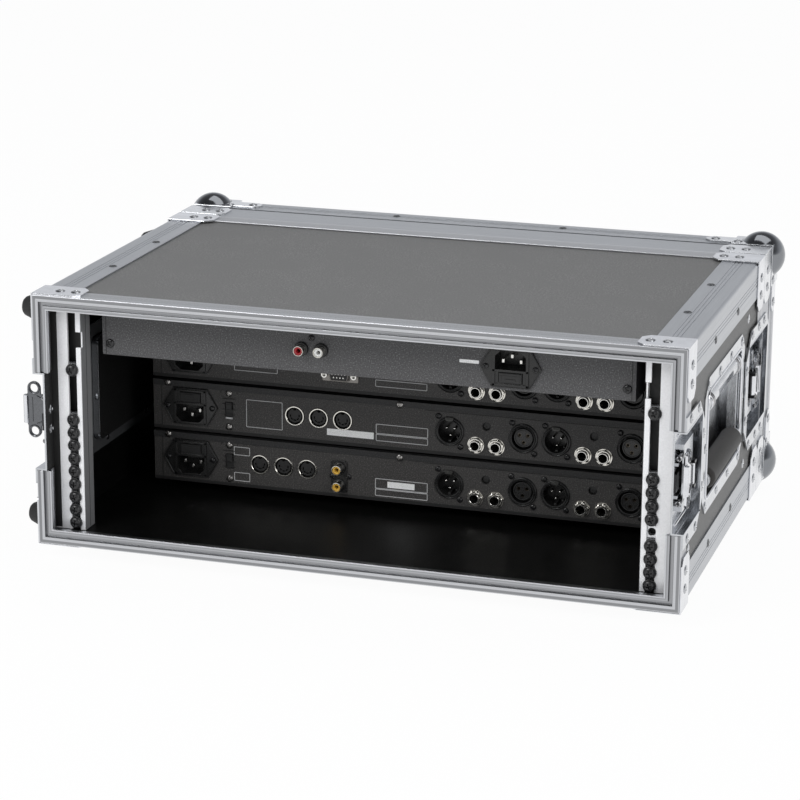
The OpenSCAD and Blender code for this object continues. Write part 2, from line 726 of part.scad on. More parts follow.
module lid_edge_angles() placed() color("silver") {
    for (m = [0, 1]) translate([0, 0, m * case_h]) mirror([0, 0, m])
        translate([-half_w, total_d, 0]) rotate([90, 0, 90])
            linear_extrude(case_w) mirror([1, 0]) angle_outline(lid_angle_l, angle_leg);
    both_sides() {
        translate([half_w, total_d, angle_leg]) rotate(180)
            linear_extrude(case_h - 2 * angle_leg) angle_outline(angle_leg, lid_angle_l);
        for (z = [angle_t, case_h - angle_leg - eps])
            box([ply_x, total_d - lid_angle_l, z],
                [half_w, total_d - angle_t, z + angle_leg - angle_t + eps]);
    }
}

// Pressed corner with three plates and a ball over the lid's corner.
module ball_corner() {
    e = [half_w, total_d, case_h];
    box([e[0] - 34, e[1] - 28, e[2]], [e[0] + plate_t, e[1] + plate_t, e[2] + plate_t]);
    box([e[0], e[1] - 28, e[2] - 34], [e[0] + plate_t, e[1] + plate_t, e[2] + plate_t]);
    box([e[0] - 34, e[1], e[2] - 34], [e[0] + plate_t, e[1] + plate_t, e[2] + plate_t]);
    // One finger along each edge
    translate([e[0] - 33, e[1] - 22, e[2]]) rotate(90) linear_extrude(plate_t) finger();
    translate([e[0], e[1] - 22, e[2] - 33]) rotate([90, 0, 90]) linear_extrude(plate_t)
        mirror([0, 1]) finger();
    difference() {
        translate([for (k = e) k + ball_out - ball_r]) sphere(ball_r);
        box([for (k = e) k - 2 * ball_r], e);
    }
}

module finger() polygon([[0, -1], [16, -1], [16, 20], [11, 25], [5, 25], [0, 20]]);

module lid_corners() placed() color("gainsboro") four_edges() {
    ball_corner();
    brace(lid_brace_y);
}

module keeper() {
    latch_plate(keeper_w + 4, 14) {
        box([0, -tray_half, -ply_t], [keeper_w - 0.2, tray_half, angle_t + eps]);
        union() {
            box([plate_t, plate_t - tray_half, tray_floor],
                [keeper_w - 0.2 - plate_t, tray_half - plate_t, angle_t + plate_t + 1]);
            // Mouth that the hook enters by
            box([-1, -9, tray_floor], [plate_t + 1, 9, tray_floor + hook_t + 1.2]);
        }
    }
    // Strap over the hook
    box([6, -13, tray_floor + hook_t + 1.2], [14, 13, tray_floor + hook_t + 2.4]);
    for (s = [-1, 1])
        box([6, s * 11.5 - 1.5, tray_floor - eps], [14, s * 11.5 + 1.5, tray_floor + hook_t + 1.3]);
}

module lid_keepers() placed() color("gainsboro") both_sides()
    translate([ply_x, body_d, latch_z]) rotate([90, 0, 90]) keeper();

module lid_rivets() placed() color("gray") {
    four_edges() {
        brace_rivets(lid_brace_y, brace_rivet_z);
        for (p = [lid_rivet_in, lid_corner_rivet]) {
            translate([half_w - p[0], total_d - p[1], case_h + plate_t]) rivet();
            rivet_x(half_w + plate_t, total_d - p[1], case_h - p[0]);
        }
    }
    // Along the lid's outer edge
    for (m = [0, 1]) translate([0, 0, m * case_h]) mirror([0, 0, m]) {
        for (x = [-75, 75]) translate([x, total_d - 13, 0]) rotate([180, 0, 0]) rivet();
        for (x = [-150, -50, 50, 150]) translate([x, total_d, 20]) rotate([-90, 0, 0]) rivet();
    }
    both_sides() for (v = [-1, 1])
        rivet_x(half_w + plate_t, body_d + 8, latch_z + v * (latch_h / 2 - 4.5));
}

// ---- Units ----

function unit_z0(i) = unit_mid(i) - unit_h / 2;

// Holes in the rear panel of unit i, seen from outside, as a flat outline.
module rear_holes(i) {
    translate([i == 0 ? deep_inlet_x : inlet_x, i == 0 ? deep_inlet_v : 0])
        square([2 * inlet_half[0], 2 * inlet_half[1]], center = true);
    if (i == 0) {
        for (x = deep_phono_x) translate([x, phono_av]) circle(phono_r);
    } else {
        for (x = concat(male_x, female_x)) translate([x, pole_v]) circle(pole_r);
        for (x = jack_x) translate([x, jack_v]) circle(jack_r);
        for (x = trim_x) translate([x, trim_v]) circle(trim_r);
    }
    if (i == 1) translate([dsub_x, dsub_v])
        square([2 * dsub_half[0], 2 * dsub_half[1]], center = true);
    if (i == 2) for (x = din_c) translate([x, 0]) circle(din_r);
    if (i == 3) {
        for (x = din_d) translate([x, 0]) circle(din_r);
        for (v = phono_v) translate([phono_x, v]) circle(phono_r);
    }
    if (i > 1) translate([switch_x, 0]) square([7, 13], center = true);
}

// Tray of unit i: floor, two sides and the rear panel.
module chassis(i) {
    y0 = unit_y(i);
    z0 = unit_z0(i);
    difference() {
        box([-unit_w / 2, y0, z0], [unit_w / 2, front_rail_y, z0 + unit_h - sheet_t]);
        box([sheet_t - unit_w / 2, y0 + sheet_t, z0 + sheet_t],
            [unit_w / 2 - sheet_t, front_rail_y + 1, z0 + unit_h]);
        translate([0, y0 - 1, unit_mid(i)]) along_y(sheet_t + 2) rear_holes(i);
    }
}

module unit_a_chassis() placed() color([0.2, 0.2, 0.2]) chassis(0);
module unit_b_chassis() placed() color([0.2, 0.2, 0.2]) chassis(1);
module unit_c_chassis() placed() color([0.2, 0.2, 0.2]) chassis(2);
module unit_d_chassis() placed() color([0.2, 0.2, 0.2]) chassis(3);

module unit_covers() placed() color([0.2, 0.2, 0.2]) for (i = [0:rack_n - 1]) {
    top = unit_z0(i) + unit_h;
    box([-unit_w / 2, unit_y(i), top - sheet_t], [unit_w / 2, front_rail_y, top]);
    box([-unit_w / 2, unit_y(i) - 0.9, top - cover_lip], [unit_w / 2, unit_y(i), top]);
}

module unit_front_panels() placed() color([0.16, 0.16, 0.17]) for (i = [0:rack_n - 1])
    translate([0, front_rail_y, unit_mid(i)]) difference() {
        box([-ear_w / 2, 0, stack_gap - rack_u / 2], [ear_w / 2, front_t, rack_u / 2 - stack_gap]);
        for (x = [-slot_x, slot_x], v = [-hole_v, hole_v])
            rod_y(x, v, -1, front_t + 1, screw_r + 0.4);
        // Display window
        box([-70, front_t - 1, -9], [30, front_t + 1, 9]);
        if (i == 0) rod_y(button_x, 0, -1, front_t + 1, button_r + run_gap);
        else rod_y(knob_x, 0, -1, front_t + 1, knob_shaft_r + pin_gap);
    }

module at_rear(i, x, v) translate([x, unit_y(i), unit_mid(i) + v]) rotate([90, 0, 0]) children();

// Sockets stand with their face along +Z, the panel's outside at Z = 0.
module pole_pattern() for (a = [30, 150, 270]) rotate(a) translate([3.9, 0, 0]) children();

module male_socket() {
    difference() {
        union() {
            cylinder(h = 1.5, r = pole_r + 1.4);
            translate([0, 0, -pole_depth]) cylinder(h = pole_depth + 1, r = pole_r - 0.1);
        }
        translate([0, 0, -13]) cylinder(h = 20, r = 9);
    }
    pole_pattern() translate([0, 0, -13.5]) cylinder(h = 11, r = 1.2, $fn = 24);
}

module female_socket() difference() {
    union() {
        cylinder(h = 1.5, r = pole_r + 1.4);
        translate([0, 0, -pole_depth]) cylinder(h = pole_depth + 1, r = pole_r - 0.1);
    }
    translate([0, 0, -11]) difference() {
        cylinder(h = 20, r = 9.3);
        translate([0, 0, -1]) cylinder(h = 11.5, r = 7.9);
    }
    pole_pattern() translate([0, 0, -12]) cylinder(h = 20, r = 1.4, $fn = 24);
}

module din_socket() difference() {
    union() {
        cylinder(h = 0.8, r = din_r + 0.8);
        translate([0, 0, -11]) cylinder(h = 11.5, r = din_r - 0.1);
    }
    translate([0, 0, -7]) difference() {
        cylinder(h = 10, r = 6.9);
        translate([0, 0, -1]) cylinder(h = 7.5, r = 5.9);
    }
    for (a = [0, 45, 90, 135, 180]) rotate(-a) translate([3.5, 0, -6])
        cylinder(h = 10, r = 0.8, $fn = 16);
}

module dsub_socket() {
    difference() {
        union() {
            box([-15.4, -6.2, 0], [15.4, 6.2, 1]);
            box([-9.5, -5, -9], [9.5, 5, 5]);
        }
        box([-8.7, -4.2, -2], [8.7, 4.2, 7]);
    }
    for (x = [-12.5, 12.5]) translate([x, 0, 1 - eps]) cylinder(h = 5, r = 2.8, $fn = 6);
    for (k = [-2:2]) translate([2.7 * k, 1.4, -2 - eps]) cylinder(h = 5, r = 0.5, $fn = 16);
    for (k = [-1.5:1.5]) translate([2.7 * k, -1.4, -2 - eps]) cylinder(h = 5, r = 0.5, $fn = 16);
}

module panel_sockets() placed() color([0.12, 0.12, 0.12]) {
    for (i = [1:rack_n - 1]) {
        for (x = male_x) at_rear(i, x, pole_v) male_socket();
        for (x = female_x) at_rear(i, x, pole_v) female_socket();
    }
    for (x = din_c) at_rear(2, x, 0) din_socket();
    for (x = din_d) at_rear(3, x, 0) din_socket();
    at_rear(1, dsub_x, dsub_v) dsub_socket();
}

// Quarter inch jack: threaded bush with its nut, and the body behind.
module jack() difference() {
    union() {
        cylinder(h = 2, r = 6.6, $fn = 6);
        translate([0, 0, -2]) cylinder(h = 6.5, r = jack_r - 0.1);
        translate([0, 0, -jack_l]) translate([-6, -6, 0]) cube([12, 12, jack_l - sheet_t]);
    }
    translate([0, 0, 6 - jack_l]) cylinder(h = jack_l + 10, r = jack_bore_r);
}

module phono() difference() {
    union() {
        cylinder(h = 1.2, r = 5.6);
        translate([0, 0, -8]) cylinder(h = 17, r = phono_pin_r);
        translate([0, 0, -8]) cylinder(h = 8 - sheet_t, r = 5.6);
    }
    translate([0, 0, 0]) cylinder(h = 20, r = 1.7);
}

module jack_sockets() placed() color("silver") {
    for (i = [1:rack_n - 1], x = jack_x) at_rear(i, x, jack_v) jack();
    for (x = deep_phono_x) at_rear(0, x, phono_av) phono();
    for (v = phono_v) at_rear(3, phono_x, v) phono();
}

// Mains inlet with its fuse drawer's bay, the bay above the pins.
module inlet(bay) difference() {
    union() {
        linear_extrude(2) polygon([[-15, -15.5], [15, -15.5], [24, 0],
            [15, 15.5], [-15, 15.5], [-24, 0]]);
        translate([-inlet_half[0] + 0.2, -inlet_half[1] + 0.2, -24])
            cube([2 * inlet_half[0] - 0.4, 2 * inlet_half[1] - 0.4, 25]);
    }
    difference() {
        box([-12, -13, -14], [12, 1.5, 3]);
        for (x = [-7, 0, 7])
            box([x - 1, x == 0 ? -9.5 : -5.5, -15], [x + 1, x == 0 ? -6.5 : -2.5, -2.5]);
    }
    if (bay) box([-drawer_half - run_gap, drawer_v0 - run_gap, -18],
        [drawer_half + run_gap, drawer_v1 + run_gap, 3]);
}

module mains_inlets() placed() color([0.1, 0.1, 0.1]) {
    at_rear(0, deep_inlet_x, deep_inlet_v) rotate(180) inlet(true);
    for (i = [1:rack_n - 1]) at_rear(i, inlet_x, 0) inlet(i > 1);
}

// Drawer with a fuse bay open at the top, seated at the back of its hole.
module fuse_drawer() difference() {
    box([-drawer_half, drawer_v0, -17.7], [drawer_half, drawer_v1, 2.6]);
    box([2 - drawer_half, drawer_v0 + 1.5, -16], [drawer_half - 2, drawer_v1 + 1, -4]);
}

module unit_a_fuse_drawer() placed() color([0.1, 0.1, 0.1])
    at_rear(0, deep_inlet_x, deep_inlet_v) rotate(180) fuse_drawer();
module unit_c_fuse_drawer() placed() color([0.1, 0.1, 0.1])
    at_rear(2, inlet_x, 0) fuse_drawer();
module unit_d_fuse_drawer() placed() color([0.1, 0.1, 0.1])
    at_rear(3, inlet_x, 0) fuse_drawer();

// Slide of the voltage switch: a ribbed knob on a plate behind the panel.
module voltage_slide() {
    box([-2.6, -3.2, -sheet_t - 1.2], [2.6, 3.2, 1]);
    box([-6, -10, -sheet_t - 2.2], [6, 10, -sheet_t - run_gap]);
}

module unit_c_voltage_switch() placed() color("maroon") at_rear(2, switch_x, 3) voltage_slide();
module unit_d_voltage_switch() placed() color("maroon") at_rear(3, switch_x, 3) voltage_slide();

module circuit_boards() placed() color("darkgreen") for (i = [0:rack_n - 1]) {
    z0 = unit_z0(i) + sheet_t;
    box([board_x0, unit_y(i) + 40, z0 + 5], [unit_w / 2 - 14, front_rail_y - 14, z0 + 6.6]);
    for (x = [board_x0 + 8, unit_w / 2 - 22], y = [unit_y(i) + 48, front_rail_y - 22])
        translate([x, y, z0]) cylinder(h = 5 + eps, r = 3);
}

module transformers() placed() color("goldenrod") for (i = [0:rack_n - 1])
    translate([trafo_x, front_rail_y - trafo_back, unit_z0(i) + sheet_t]) transformer();

module transformer() {
    translate([-trafo_core[0] / 2, -trafo_core[1] / 2, 0]) cube(trafo_core);
    translate([-trafo_coil[0] / 2, -trafo_coil[1] / 2, (trafo_core[2] - trafo_coil[2]) / 2])
        cube(trafo_coil);
}

// ---- Front controls ----

module knob() {
    rod_y(0, 0, 0.5, 3, knob_d / 2 + 1.5);
    rod_y(0, 0, 3 - eps, 16, knob_d / 2);
    rod_y(0, 0, -front_t - 4, 1, knob_shaft_r);
}

module at_knob(i) translate([knob_x, front_rail_y + front_t, unit_mid(i)]) children();
module unit_b_knob() placed() color([0.3, 0.3, 0.32]) at_knob(1) knob();
module unit_c_knob() placed() color([0.3, 0.3, 0.32]) at_knob(2) knob();
module unit_d_knob() placed() color([0.3, 0.3, 0.32]) at_knob(3) knob();

module unit_a_power_button() placed() color([0.3, 0.3, 0.32])
    translate([button_x, front_rail_y + front_t, unit_mid(0)]) {
        rod_y(0, 0, -front_t - 1, 5, button_r);
        rod_y(0, 0, -front_t - 2, -front_t - run_gap, button_r + 2);
    }

// ---- Parts ----

top_panel();
bottom_panel();
left_panel();
right_panel();
edge_angles();
opening_frames();
corner_braces();
case_rivets();
rack_rails();
rack_screws();
rack_nuts();
rubber_feet();
left_handle_dish();
right_handle_dish();
handle_backplates();
left_handle_bow();
left_handle_grip();
right_handle_bow();
right_handle_grip();
latch_dishes();
rear_left_spindle();
rear_left_wing();
rear_left_hook();
rear_right_spindle();
rear_right_wing();
rear_right_hook();
front_left_spindle();
front_left_wing();
front_left_hook();
front_right_spindle();
front_right_wing();
front_right_hook();
lid_panel();
lid_rim_boards();
lid_frame();
lid_edge_angles();
lid_corners();
lid_keepers();
lid_rivets();
unit_a_chassis();
unit_b_chassis();
unit_c_chassis();
unit_d_chassis();
unit_covers();
unit_front_panels();
mains_inlets();
panel_sockets();
jack_sockets();
circuit_boards();
transformers();
unit_a_fuse_drawer();
unit_c_fuse_drawer();
unit_d_fuse_drawer();
unit_c_voltage_switch();
unit_d_voltage_switch();
unit_a_power_button();
unit_b_knob();
unit_c_knob();
unit_d_knob();
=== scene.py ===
import math
from itertools import product
import bpy
import bmesh
from mathutils import Matrix, Vector


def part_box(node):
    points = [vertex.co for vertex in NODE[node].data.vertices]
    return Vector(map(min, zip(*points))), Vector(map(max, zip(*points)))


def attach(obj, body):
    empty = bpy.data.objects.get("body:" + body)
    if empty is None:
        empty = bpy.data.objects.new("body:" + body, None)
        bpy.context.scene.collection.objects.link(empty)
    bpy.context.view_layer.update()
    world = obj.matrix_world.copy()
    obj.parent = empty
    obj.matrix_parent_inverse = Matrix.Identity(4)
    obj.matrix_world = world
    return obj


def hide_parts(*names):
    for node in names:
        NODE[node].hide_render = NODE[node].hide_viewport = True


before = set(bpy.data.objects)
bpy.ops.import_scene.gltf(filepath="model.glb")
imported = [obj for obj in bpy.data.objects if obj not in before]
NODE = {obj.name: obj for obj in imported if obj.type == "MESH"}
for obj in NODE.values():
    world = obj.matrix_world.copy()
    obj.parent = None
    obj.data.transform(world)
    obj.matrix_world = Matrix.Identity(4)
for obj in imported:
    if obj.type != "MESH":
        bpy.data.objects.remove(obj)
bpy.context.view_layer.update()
scene = bpy.context.scene

# ---- Sizes in millimetres, the same ones as part.scad's ----
case_w, case_h, body_d, lid_d = 517.0, 203.0, 313.0, 62.0
half_w, total_d = case_w / 2, body_d + lid_d
shell_t, angle_t, plate_t = 8.5, 1.5, 1.2
ply_x, wall_x = half_w - angle_t, half_w - shell_t
foot_h, ball_out = 13.0, 9.0
rack_u, rack_hole_v = 44.45, 15.875
stack_z = case_h - shell_t - 4 * rack_u - 0.5
slot_x, rail_set, front_rail_y, ear_t = 465.1 / 2, 15.0, 298.0, 3.0
long_back, short_back = 33.0, 135.0  # rear panels of unit A, and of B, C and D
handle_y, handle_z = 158.5, 103.5
latch_z, latch_u, pin_out = 100.5, 31.0, 1.2
wing_l, wing_lobe_u, wing_lobe_v = 24.0, 15.0, 17.7
tray_l, tray_h, handle_depth = 138.0, 86.0, 14.0
tray_floor = plate_t - 7.0
# The frame is centred on the part, from the open wing to the ball corners
X0 = (ply_x + pin_out + wing_l - half_w - ball_out) / 2
mid_y, mid_z = (total_d + ball_out) / 2, foot_h + case_h / 2

SIDES, ENDS = (-1, 1), (0, 1)
ORIGIN, UPWARD, BACK, FORE = (0, 0, 0), (0, 0, 1), (0, -1, 0), (0, 1, 0)
OUT_Z = (UPWARD, (0, 0, -1))  # out of the top (0) and out of the bottom (1)


def unit_mid(i):
    return stack_z + rack_u * (3.5 - i)


def unit_y(i):
    return short_back if i else long_back


def level(m, z):
    """Height that lies z in from the top (m = 0) or from the bottom (m = 1)."""
    return z if m else case_h - z


def P(x, y, z):
    """A place in the case's own millimetres as a place in the row frame."""
    return Vector(((x + X0) / 1000, (y - mid_y) / 1000, (z + foot_h) / 1000))


# ---- Materials (a colour that is one number is a grey) ----
def rgb(c):
    return c if isinstance(c, tuple) else (c, c, c)


class Nodes:
    """Adds nodes to a node tree. Inputs are sockets or plain values."""

    def __init__(self, tree):
        self.t = tree

    def new(self, kind, **props):
        n = self.t.nodes.new(kind)
        for k, v in props.items():
            setattr(n, k, v)
        return n

    def put(self, v, socket):
        if isinstance(v, bpy.types.NodeSocket):
            self.t.links.new(v, socket)
        elif socket.type == "RGBA":
            socket.default_value = (*v, 1)
        elif v is not None:
            socket.default_value = v

    def ramp(self, fac, stops):
        r = self.new("ShaderNodeValToRGB")
        while len(r.color_ramp.elements) < len(stops):
            r.color_ramp.elements.new(0.5)
        for e, (p, c) in zip(r.color_ramp.elements, stops):
            e.position = p
            e.color = (*rgb(c), 1)
        self.put(fac, r.inputs["Fac"])
        return r.outputs["Color"]

    def values(self, fac, lo, hi, from_lo=0.3, from_hi=0.7):
        r = self.new("ShaderNodeMapRange")
        for k, v in (("From Min", from_lo), ("From Max", from_hi), ("To Min", lo), ("To Max", hi), ("Value", fac)):
            self.put(v, r.inputs[k])
        return r.outputs["Result"]

    def mix(self, fac, a, b, blend="MIX"):
        m = self.new("ShaderNodeMix", data_type="RGBA", blend_type=blend)
        for k, v in (("Factor", fac), (6, a), (7, b)):
            self.put(v, m.inputs[k])
        return m.outputs[2]

    def math(self, op, a, b=None, c=None):
        m = self.new("ShaderNodeMath", operation=op)
        for socket, v in zip(m.inputs, (a, b, c)):
            self.put(v, socket)
        return m.outputs[0]

    def split(self, space):
        """The three coordinates of a space."""
        s = self.new("ShaderNodeSeparateXYZ")
        self.put(self.new("ShaderNodeTexCoord").outputs[space], s.inputs[0])
        return s.outputs

    def join(self, *coordinates):
        c = self.new("ShaderNodeCombineXYZ")
        for socket, v in zip(c.inputs, coordinates):
            self.put(v, socket)
        return c.outputs[0]

    def seen(self):
        """1 for rays from the camera, from mirrors and through glass."""
        rays = self.new("ShaderNodeLightPath").outputs
        straight = self.math("MAXIMUM", rays["Is Camera Ray"], rays["Is Glossy Ray"])
        return self.math("MAXIMUM", straight, rays["Is Transmission Ray"])


    def show(self, fac, a, b, output):
        """Sends a mix of two shaders to an output node."""
        both = self.new("ShaderNodeMixShader")
        for socket, v in zip(both.inputs, (fac, a, b)):
            self.put(v, socket)
        self.put(both.outputs[0], self.t.nodes[output].inputs["Surface"])


class Mat(Nodes):
    """A material. Scales are in millimetres of object space."""

    def __init__(self, name):
        self.m = bpy.data.materials.new(name)
        self.m.use_nodes = True
        super().__init__(self.m.node_tree)
        self.b = self.t.nodes["Principled BSDF"]

    def coord(self, scale=(1, 1, 1)):
        m = self.new("ShaderNodeMapping")
        m.inputs["Scale"].default_value = [1000 * s for s in scale]
        self.put(self.new("ShaderNodeTexCoord").outputs["Object"], m.inputs["Vector"])
        return m.outputs[0]

    def noise(self, scale, detail=4.0, rough=0.6, stretch=(1, 1, 1)):
        n = self.new("ShaderNodeTexNoise")
        for k, v in (("Scale", scale), ("Detail", detail), ("Roughness", rough), ("Vector", self.coord(stretch))):
            self.put(v, n.inputs[k])
        return n.outputs["Fac"]

    def cells(self, scale):
        n = self.new("ShaderNodeTexVoronoi")
        n.inputs["Scale"].default_value = scale
        self.put(self.coord(), n.inputs["Vector"])
        return n.outputs["Distance"]

    def bump(self, height, strength, distance_mm):
        b = self.new("ShaderNodeBump")
        b.inputs["Strength"].default_value = strength
        b.inputs["Distance"].default_value = distance_mm / 1000
        self.put(height, b.inputs["Height"])
        last = self.b.inputs["Normal"]
        if last.is_linked:
            self.put(last.links[0].from_socket, b.inputs["Normal"])
        self.put(b.outputs["Normal"], last)

    def done(self, color, rough, *bumps, **more):
        """The material, with bumps of (height, strength, distance in mm)."""
        self.put(color, self.b.inputs["Base Color"])
        self.put(rough, self.b.inputs["Roughness"])
        for b in bumps:
            self.bump(*b)
        for k, v in more.items():
            self.b.inputs[k.replace("_", " ")].default_value = v
        return self.m

    def off_mid(self, k):
        """Distance from the case's middle plane along X (0) or Z (2), in metres."""
        mid = mid_z if k else X0
        return self.math("ABSOLUTE", self.math("SUBTRACT", self.split("Object")[k], mid / 1000))

    def within(self, value, mm):
        return self.math("LESS_THAN", value, mm / 1000)

    def times(self, a, b):
        return self.math("MULTIPLY", a, b)


def shade(base, k):
    return tuple(min(1, v * k) for v in rgb(base))


def tones(base, *stops):
    """Colour stops at (place, brightness) of one colour."""
    return [(p, shade(base, k)) for p, k in stops]


def laminate():
    """Grained grey outside; the inside faces are painted near black as painted shade."""
    m = Mat("laminate")
    edge = angle_t + 1.5
    speck = m.noise(0.75, 3.0, 0.75)
    broad = m.noise(0.03, 3.0, 0.5)
    base = m.ramp(speck, [(0.34, (0.078, 0.077, 0.075)), (0.52, (0.134, 0.133, 0.131)),
                          (0.64, (0.255, 0.252, 0.246))])
    even = m.mix(m.values(speck, 0, 1), (0.105, 0.104, 0.102), (0.160, 0.159, 0.156))
    tint = m.mix(m.values(broad, 0.0, 1.0), base, even)
    x_in = m.within(m.off_mid(0), half_w - edge)
    z_in = m.within(m.off_mid(2), case_h / 2 - edge)
    inside = m.times(m.times(x_in, z_in), m.within(m.split("Object")[1], total_d - edge - mid_y))
    # Painted shade: the inside faces take a near-black colour with faint noise in it
    inside_shade = m.ramp(m.noise(0.12, 4.0, 0.6), [(0.3, 0.0018), (0.6, (0.0036, 0.0036, 0.0034)),
                                            (0.75, (0.009, 0.0085, 0.008))])
    return m.done(m.mix(inside, tint, inside_shade), m.math("ADD", m.times(inside, -0.16), m.values(speck, 0.46, 0.6)),
                  (m.cells(0.55), 0.10, 0.12), (m.noise(0.9, 3.0, 0.6), 0.12, 0.1), Specular_IOR_Level=0.35)


def anodised(name, along, base=(0.47, 0.485, 0.51)):
    """Extruded aluminium with die lines along X, Y or Z."""
    m = Mat(name)
    stretch = [1.0, 1.0, 1.0]
    stretch[along] = 0.004
    lines = m.noise(2.2, 3.0, 0.7, stretch)
    fine = m.noise(7.0, 2.0, 0.6, stretch)
    cloud = m.noise(0.02, 3.0, 0.5)
    c = m.ramp(lines, tones(base, (0.30, 0.86), (0.52, 1), (0.75, 1.12)))
    return m.done(m.mix(m.values(cloud, 0.0, 0.35), c, shade(base, 0.9)), m.values(fine, 0.27, 0.40),
                  (lines, 0.10, 0.03), Metallic=1.0)


def wear_and_scuffs(m):
    return m.noise(0.06, 5.0, 0.6), m.noise(0.9, 4.0, 0.7, (1, 1, 0.15))


def chrome(name, base, lo, hi, dent, metal=1.0):
    m = Mat(name)
    wear, scuff = wear_and_scuffs(m)
    return m.done(m.ramp(wear, tones(base, (0.3, 0.86), (0.6, 1), (0.8, 1.1))), m.values(scuff, lo, hi),
                  (m.noise(0.05, 2.0, 0.5), dent, 0.15), (scuff, 0.01, 0.005), Metallic=metal)


def corner_chrome():
    """Chrome corners; the balls' skin is painted darker, a painted reflection of the dark overhead."""
    m = Mat("chrome_ball_corner")
    ball_in, shell = 11, (18.5, 20.7)  # centre in from the corner, and reach of the ball's skin
    far = m.new("ShaderNodeVectorMath", operation="DISTANCE")
    m.put(m.join(m.off_mid(0), m.split("Object")[1], m.off_mid(2)), far.inputs[0])
    centre = (half_w - ball_in, total_d - ball_in - mid_y, case_h / 2 - ball_in)
    far.inputs[1].default_value = [v / 1000 for v in centre]
    r = far.outputs["Value"]
    ball_reflection_mask = m.times(m.within(r, shell[1]), m.math("GREATER_THAN", r, shell[0] / 1000))
    wear, scuff = wear_and_scuffs(m)
    plate = m.ramp(wear, [(0.3, (0.67, 0.68, 0.70)), (0.6, (0.78, 0.79, 0.81)), (0.8, (0.85, 0.86, 0.88))])
    # Painted reflection: the balls take a dark colour in place of the plates' chrome
    return m.done(m.mix(ball_reflection_mask, plate, (0.24, 0.25, 0.265)),
                  m.math("SUBTRACT", m.values(scuff, 0.14, 0.26), m.times(ball_reflection_mask, 0.08)),
                  (m.noise(0.05, 2.0, 0.5), 0.2, 0.15), (scuff, 0.01, 0.005), Metallic=1.0)


def rail_zinc():
    """Bright zinc on the rails' faces; the legs behind them are painted dark grey as painted shade."""
    m = Mat("rail_zinc")
    n = m.noise(0.8, 4.0, 0.65)
    # Painted shade: the legs behind the faces take a dark grey
    shaded_leg = m.within(m.off_mid(0), slot_x - 7.6)
    face = m.ramp(n, [(0.3, (0.80, 0.80, 0.81)), (0.7, (0.90, 0.90, 0.91))])
    return m.done(m.mix(shaded_leg, face, (0.30, 0.30, 0.305)), m.values(n, 0.34, 0.46),
                  (m.noise(2.0, 3.0, 0.6), 0.04, 0.04), Metallic=0.30)


def steel(name, base, lo=0.25, hi=0.42, metal=1.0, bump=0.08):
    m = Mat(name)
    n = m.noise(0.8, 4.0, 0.65)
    return m.done(m.ramp(n, tones(base, (0.3, 0.82), (0.7, 1.08))), m.values(n, lo, hi),
                  (m.noise(2.0, 3.0, 0.6), bump, 0.04), Metallic=metal)


def plastic(name, base, lo=0.3, hi=0.45, grain=0.12, scale=1.8):
    m = Mat(name)
    n = m.noise(scale, 3.0, 0.6)
    return m.done(m.ramp(n, tones(base, (0.3, 0.75), (0.7, 1.25))), m.values(n, lo, hi), (n, grain, 0.05))


def powder(name, base, spark):
    """Textured powder coat: small pits and a light speckle."""
    m = Mat(name)
    pits = m.noise(1.1, 3.0, 0.7)
    speckle = m.ramp(m.noise(1.0, 3.0, 0.7), tones(base, (0.36, 0.66), (0.54, 1)) + [(0.68, spark)])
    return m.done(speckle, m.values(pits, 0.42, 0.62), (pits, 0.35, 0.12), Specular_IOR_Level=0.45)


def foam(name, base):
    m = Mat(name)
    n = m.noise(0.5, 4.0, 0.6)
    return m.done(m.ramp(n, tones(base, (0.3, 0.7), (0.7, 1.3))), m.values(n, 0.62, 0.82),
                  (m.cells(0.9), 0.25, 0.15), Sheen_Weight=0.15)


def frame_bars():
    """Mitred extrusions round the opening: die lines follow every bar, and bands across each bar's profile are painted
    highlights and painted shadow lines.
    """
    m = Mat("aluminium_frame")
    face_w, flange_w = 12.0, 34.0  # widths in millimetres that the bands below are laid out on

    def light_and_shade_bands(pos, size, stops):
        return m.ramp(m.math("DIVIDE", pos, size), [(p / size, v) for p, v in stops])
    from_x = m.math("SUBTRACT", half_w / 1000, m.off_mid(0))
    from_z = m.math("SUBTRACT", case_h / 2000, m.off_mid(2))
    past_mid = m.math("SUBTRACT", m.split("Object")[1], (body_d - total_d - ball_out) / 2000)
    deep = m.times(m.math("MINIMUM", from_x, from_z), 1000)
    away = m.times(m.math("SUBTRACT", body_d / 2000, m.math("ABSOLUTE", past_mid)), 1000)
    fine = m.new("ShaderNodeTexNoise")
    fine.inputs["Scale"].default_value = 2.4
    fine.inputs["Detail"].default_value = 3.0
    m.put(m.join(deep, away), fine.inputs["Vector"])
    fine = fine.outputs["Fac"]
    # Painted highlights and painted shadow lines across the face and the flange
    face = light_and_shade_bands(deep, face_w, [
        (0, 1.0), (0.5, 1.0), (0.8, 0.50), (2.6, 0.46), (3.2, 0.95), (4.9, 1.0), (5.3, 0.30), (5.9, 0.60), (7.9, 0.56),
        (8.4, 0.24), (8.9, 0.72), (10.2, 0.66), (10.6, 0.40), (11.0, 1.0)])
    flange = light_and_shade_bands(away, flange_w, [
        (0, 1.0), (2.6, 0.90), (3.0, 0.50), (3.5, 0.80), (8.0, 0.72), (8.4, 0.48), (8.8, 0.72), (13.4, 0.70),
        (13.8, 0.46), (14.3, 0.76)])
    outer = m.times(m.math("GREATER_THAN", away, 0.4), m.math("LESS_THAN", deep, 0.4))
    tone = m.ramp(fine, [(0.3, (0.48, 0.49, 0.51)), (0.55, (0.60, 0.61, 0.635)), (0.75, (0.74, 0.75, 0.77))])
    return m.done(m.mix(1.0, tone, m.mix(outer, face, flange), "MULTIPLY"), m.values(fine, 0.24, 0.38),
                  (fine, 0.08, 0.03), Metallic=1.0)


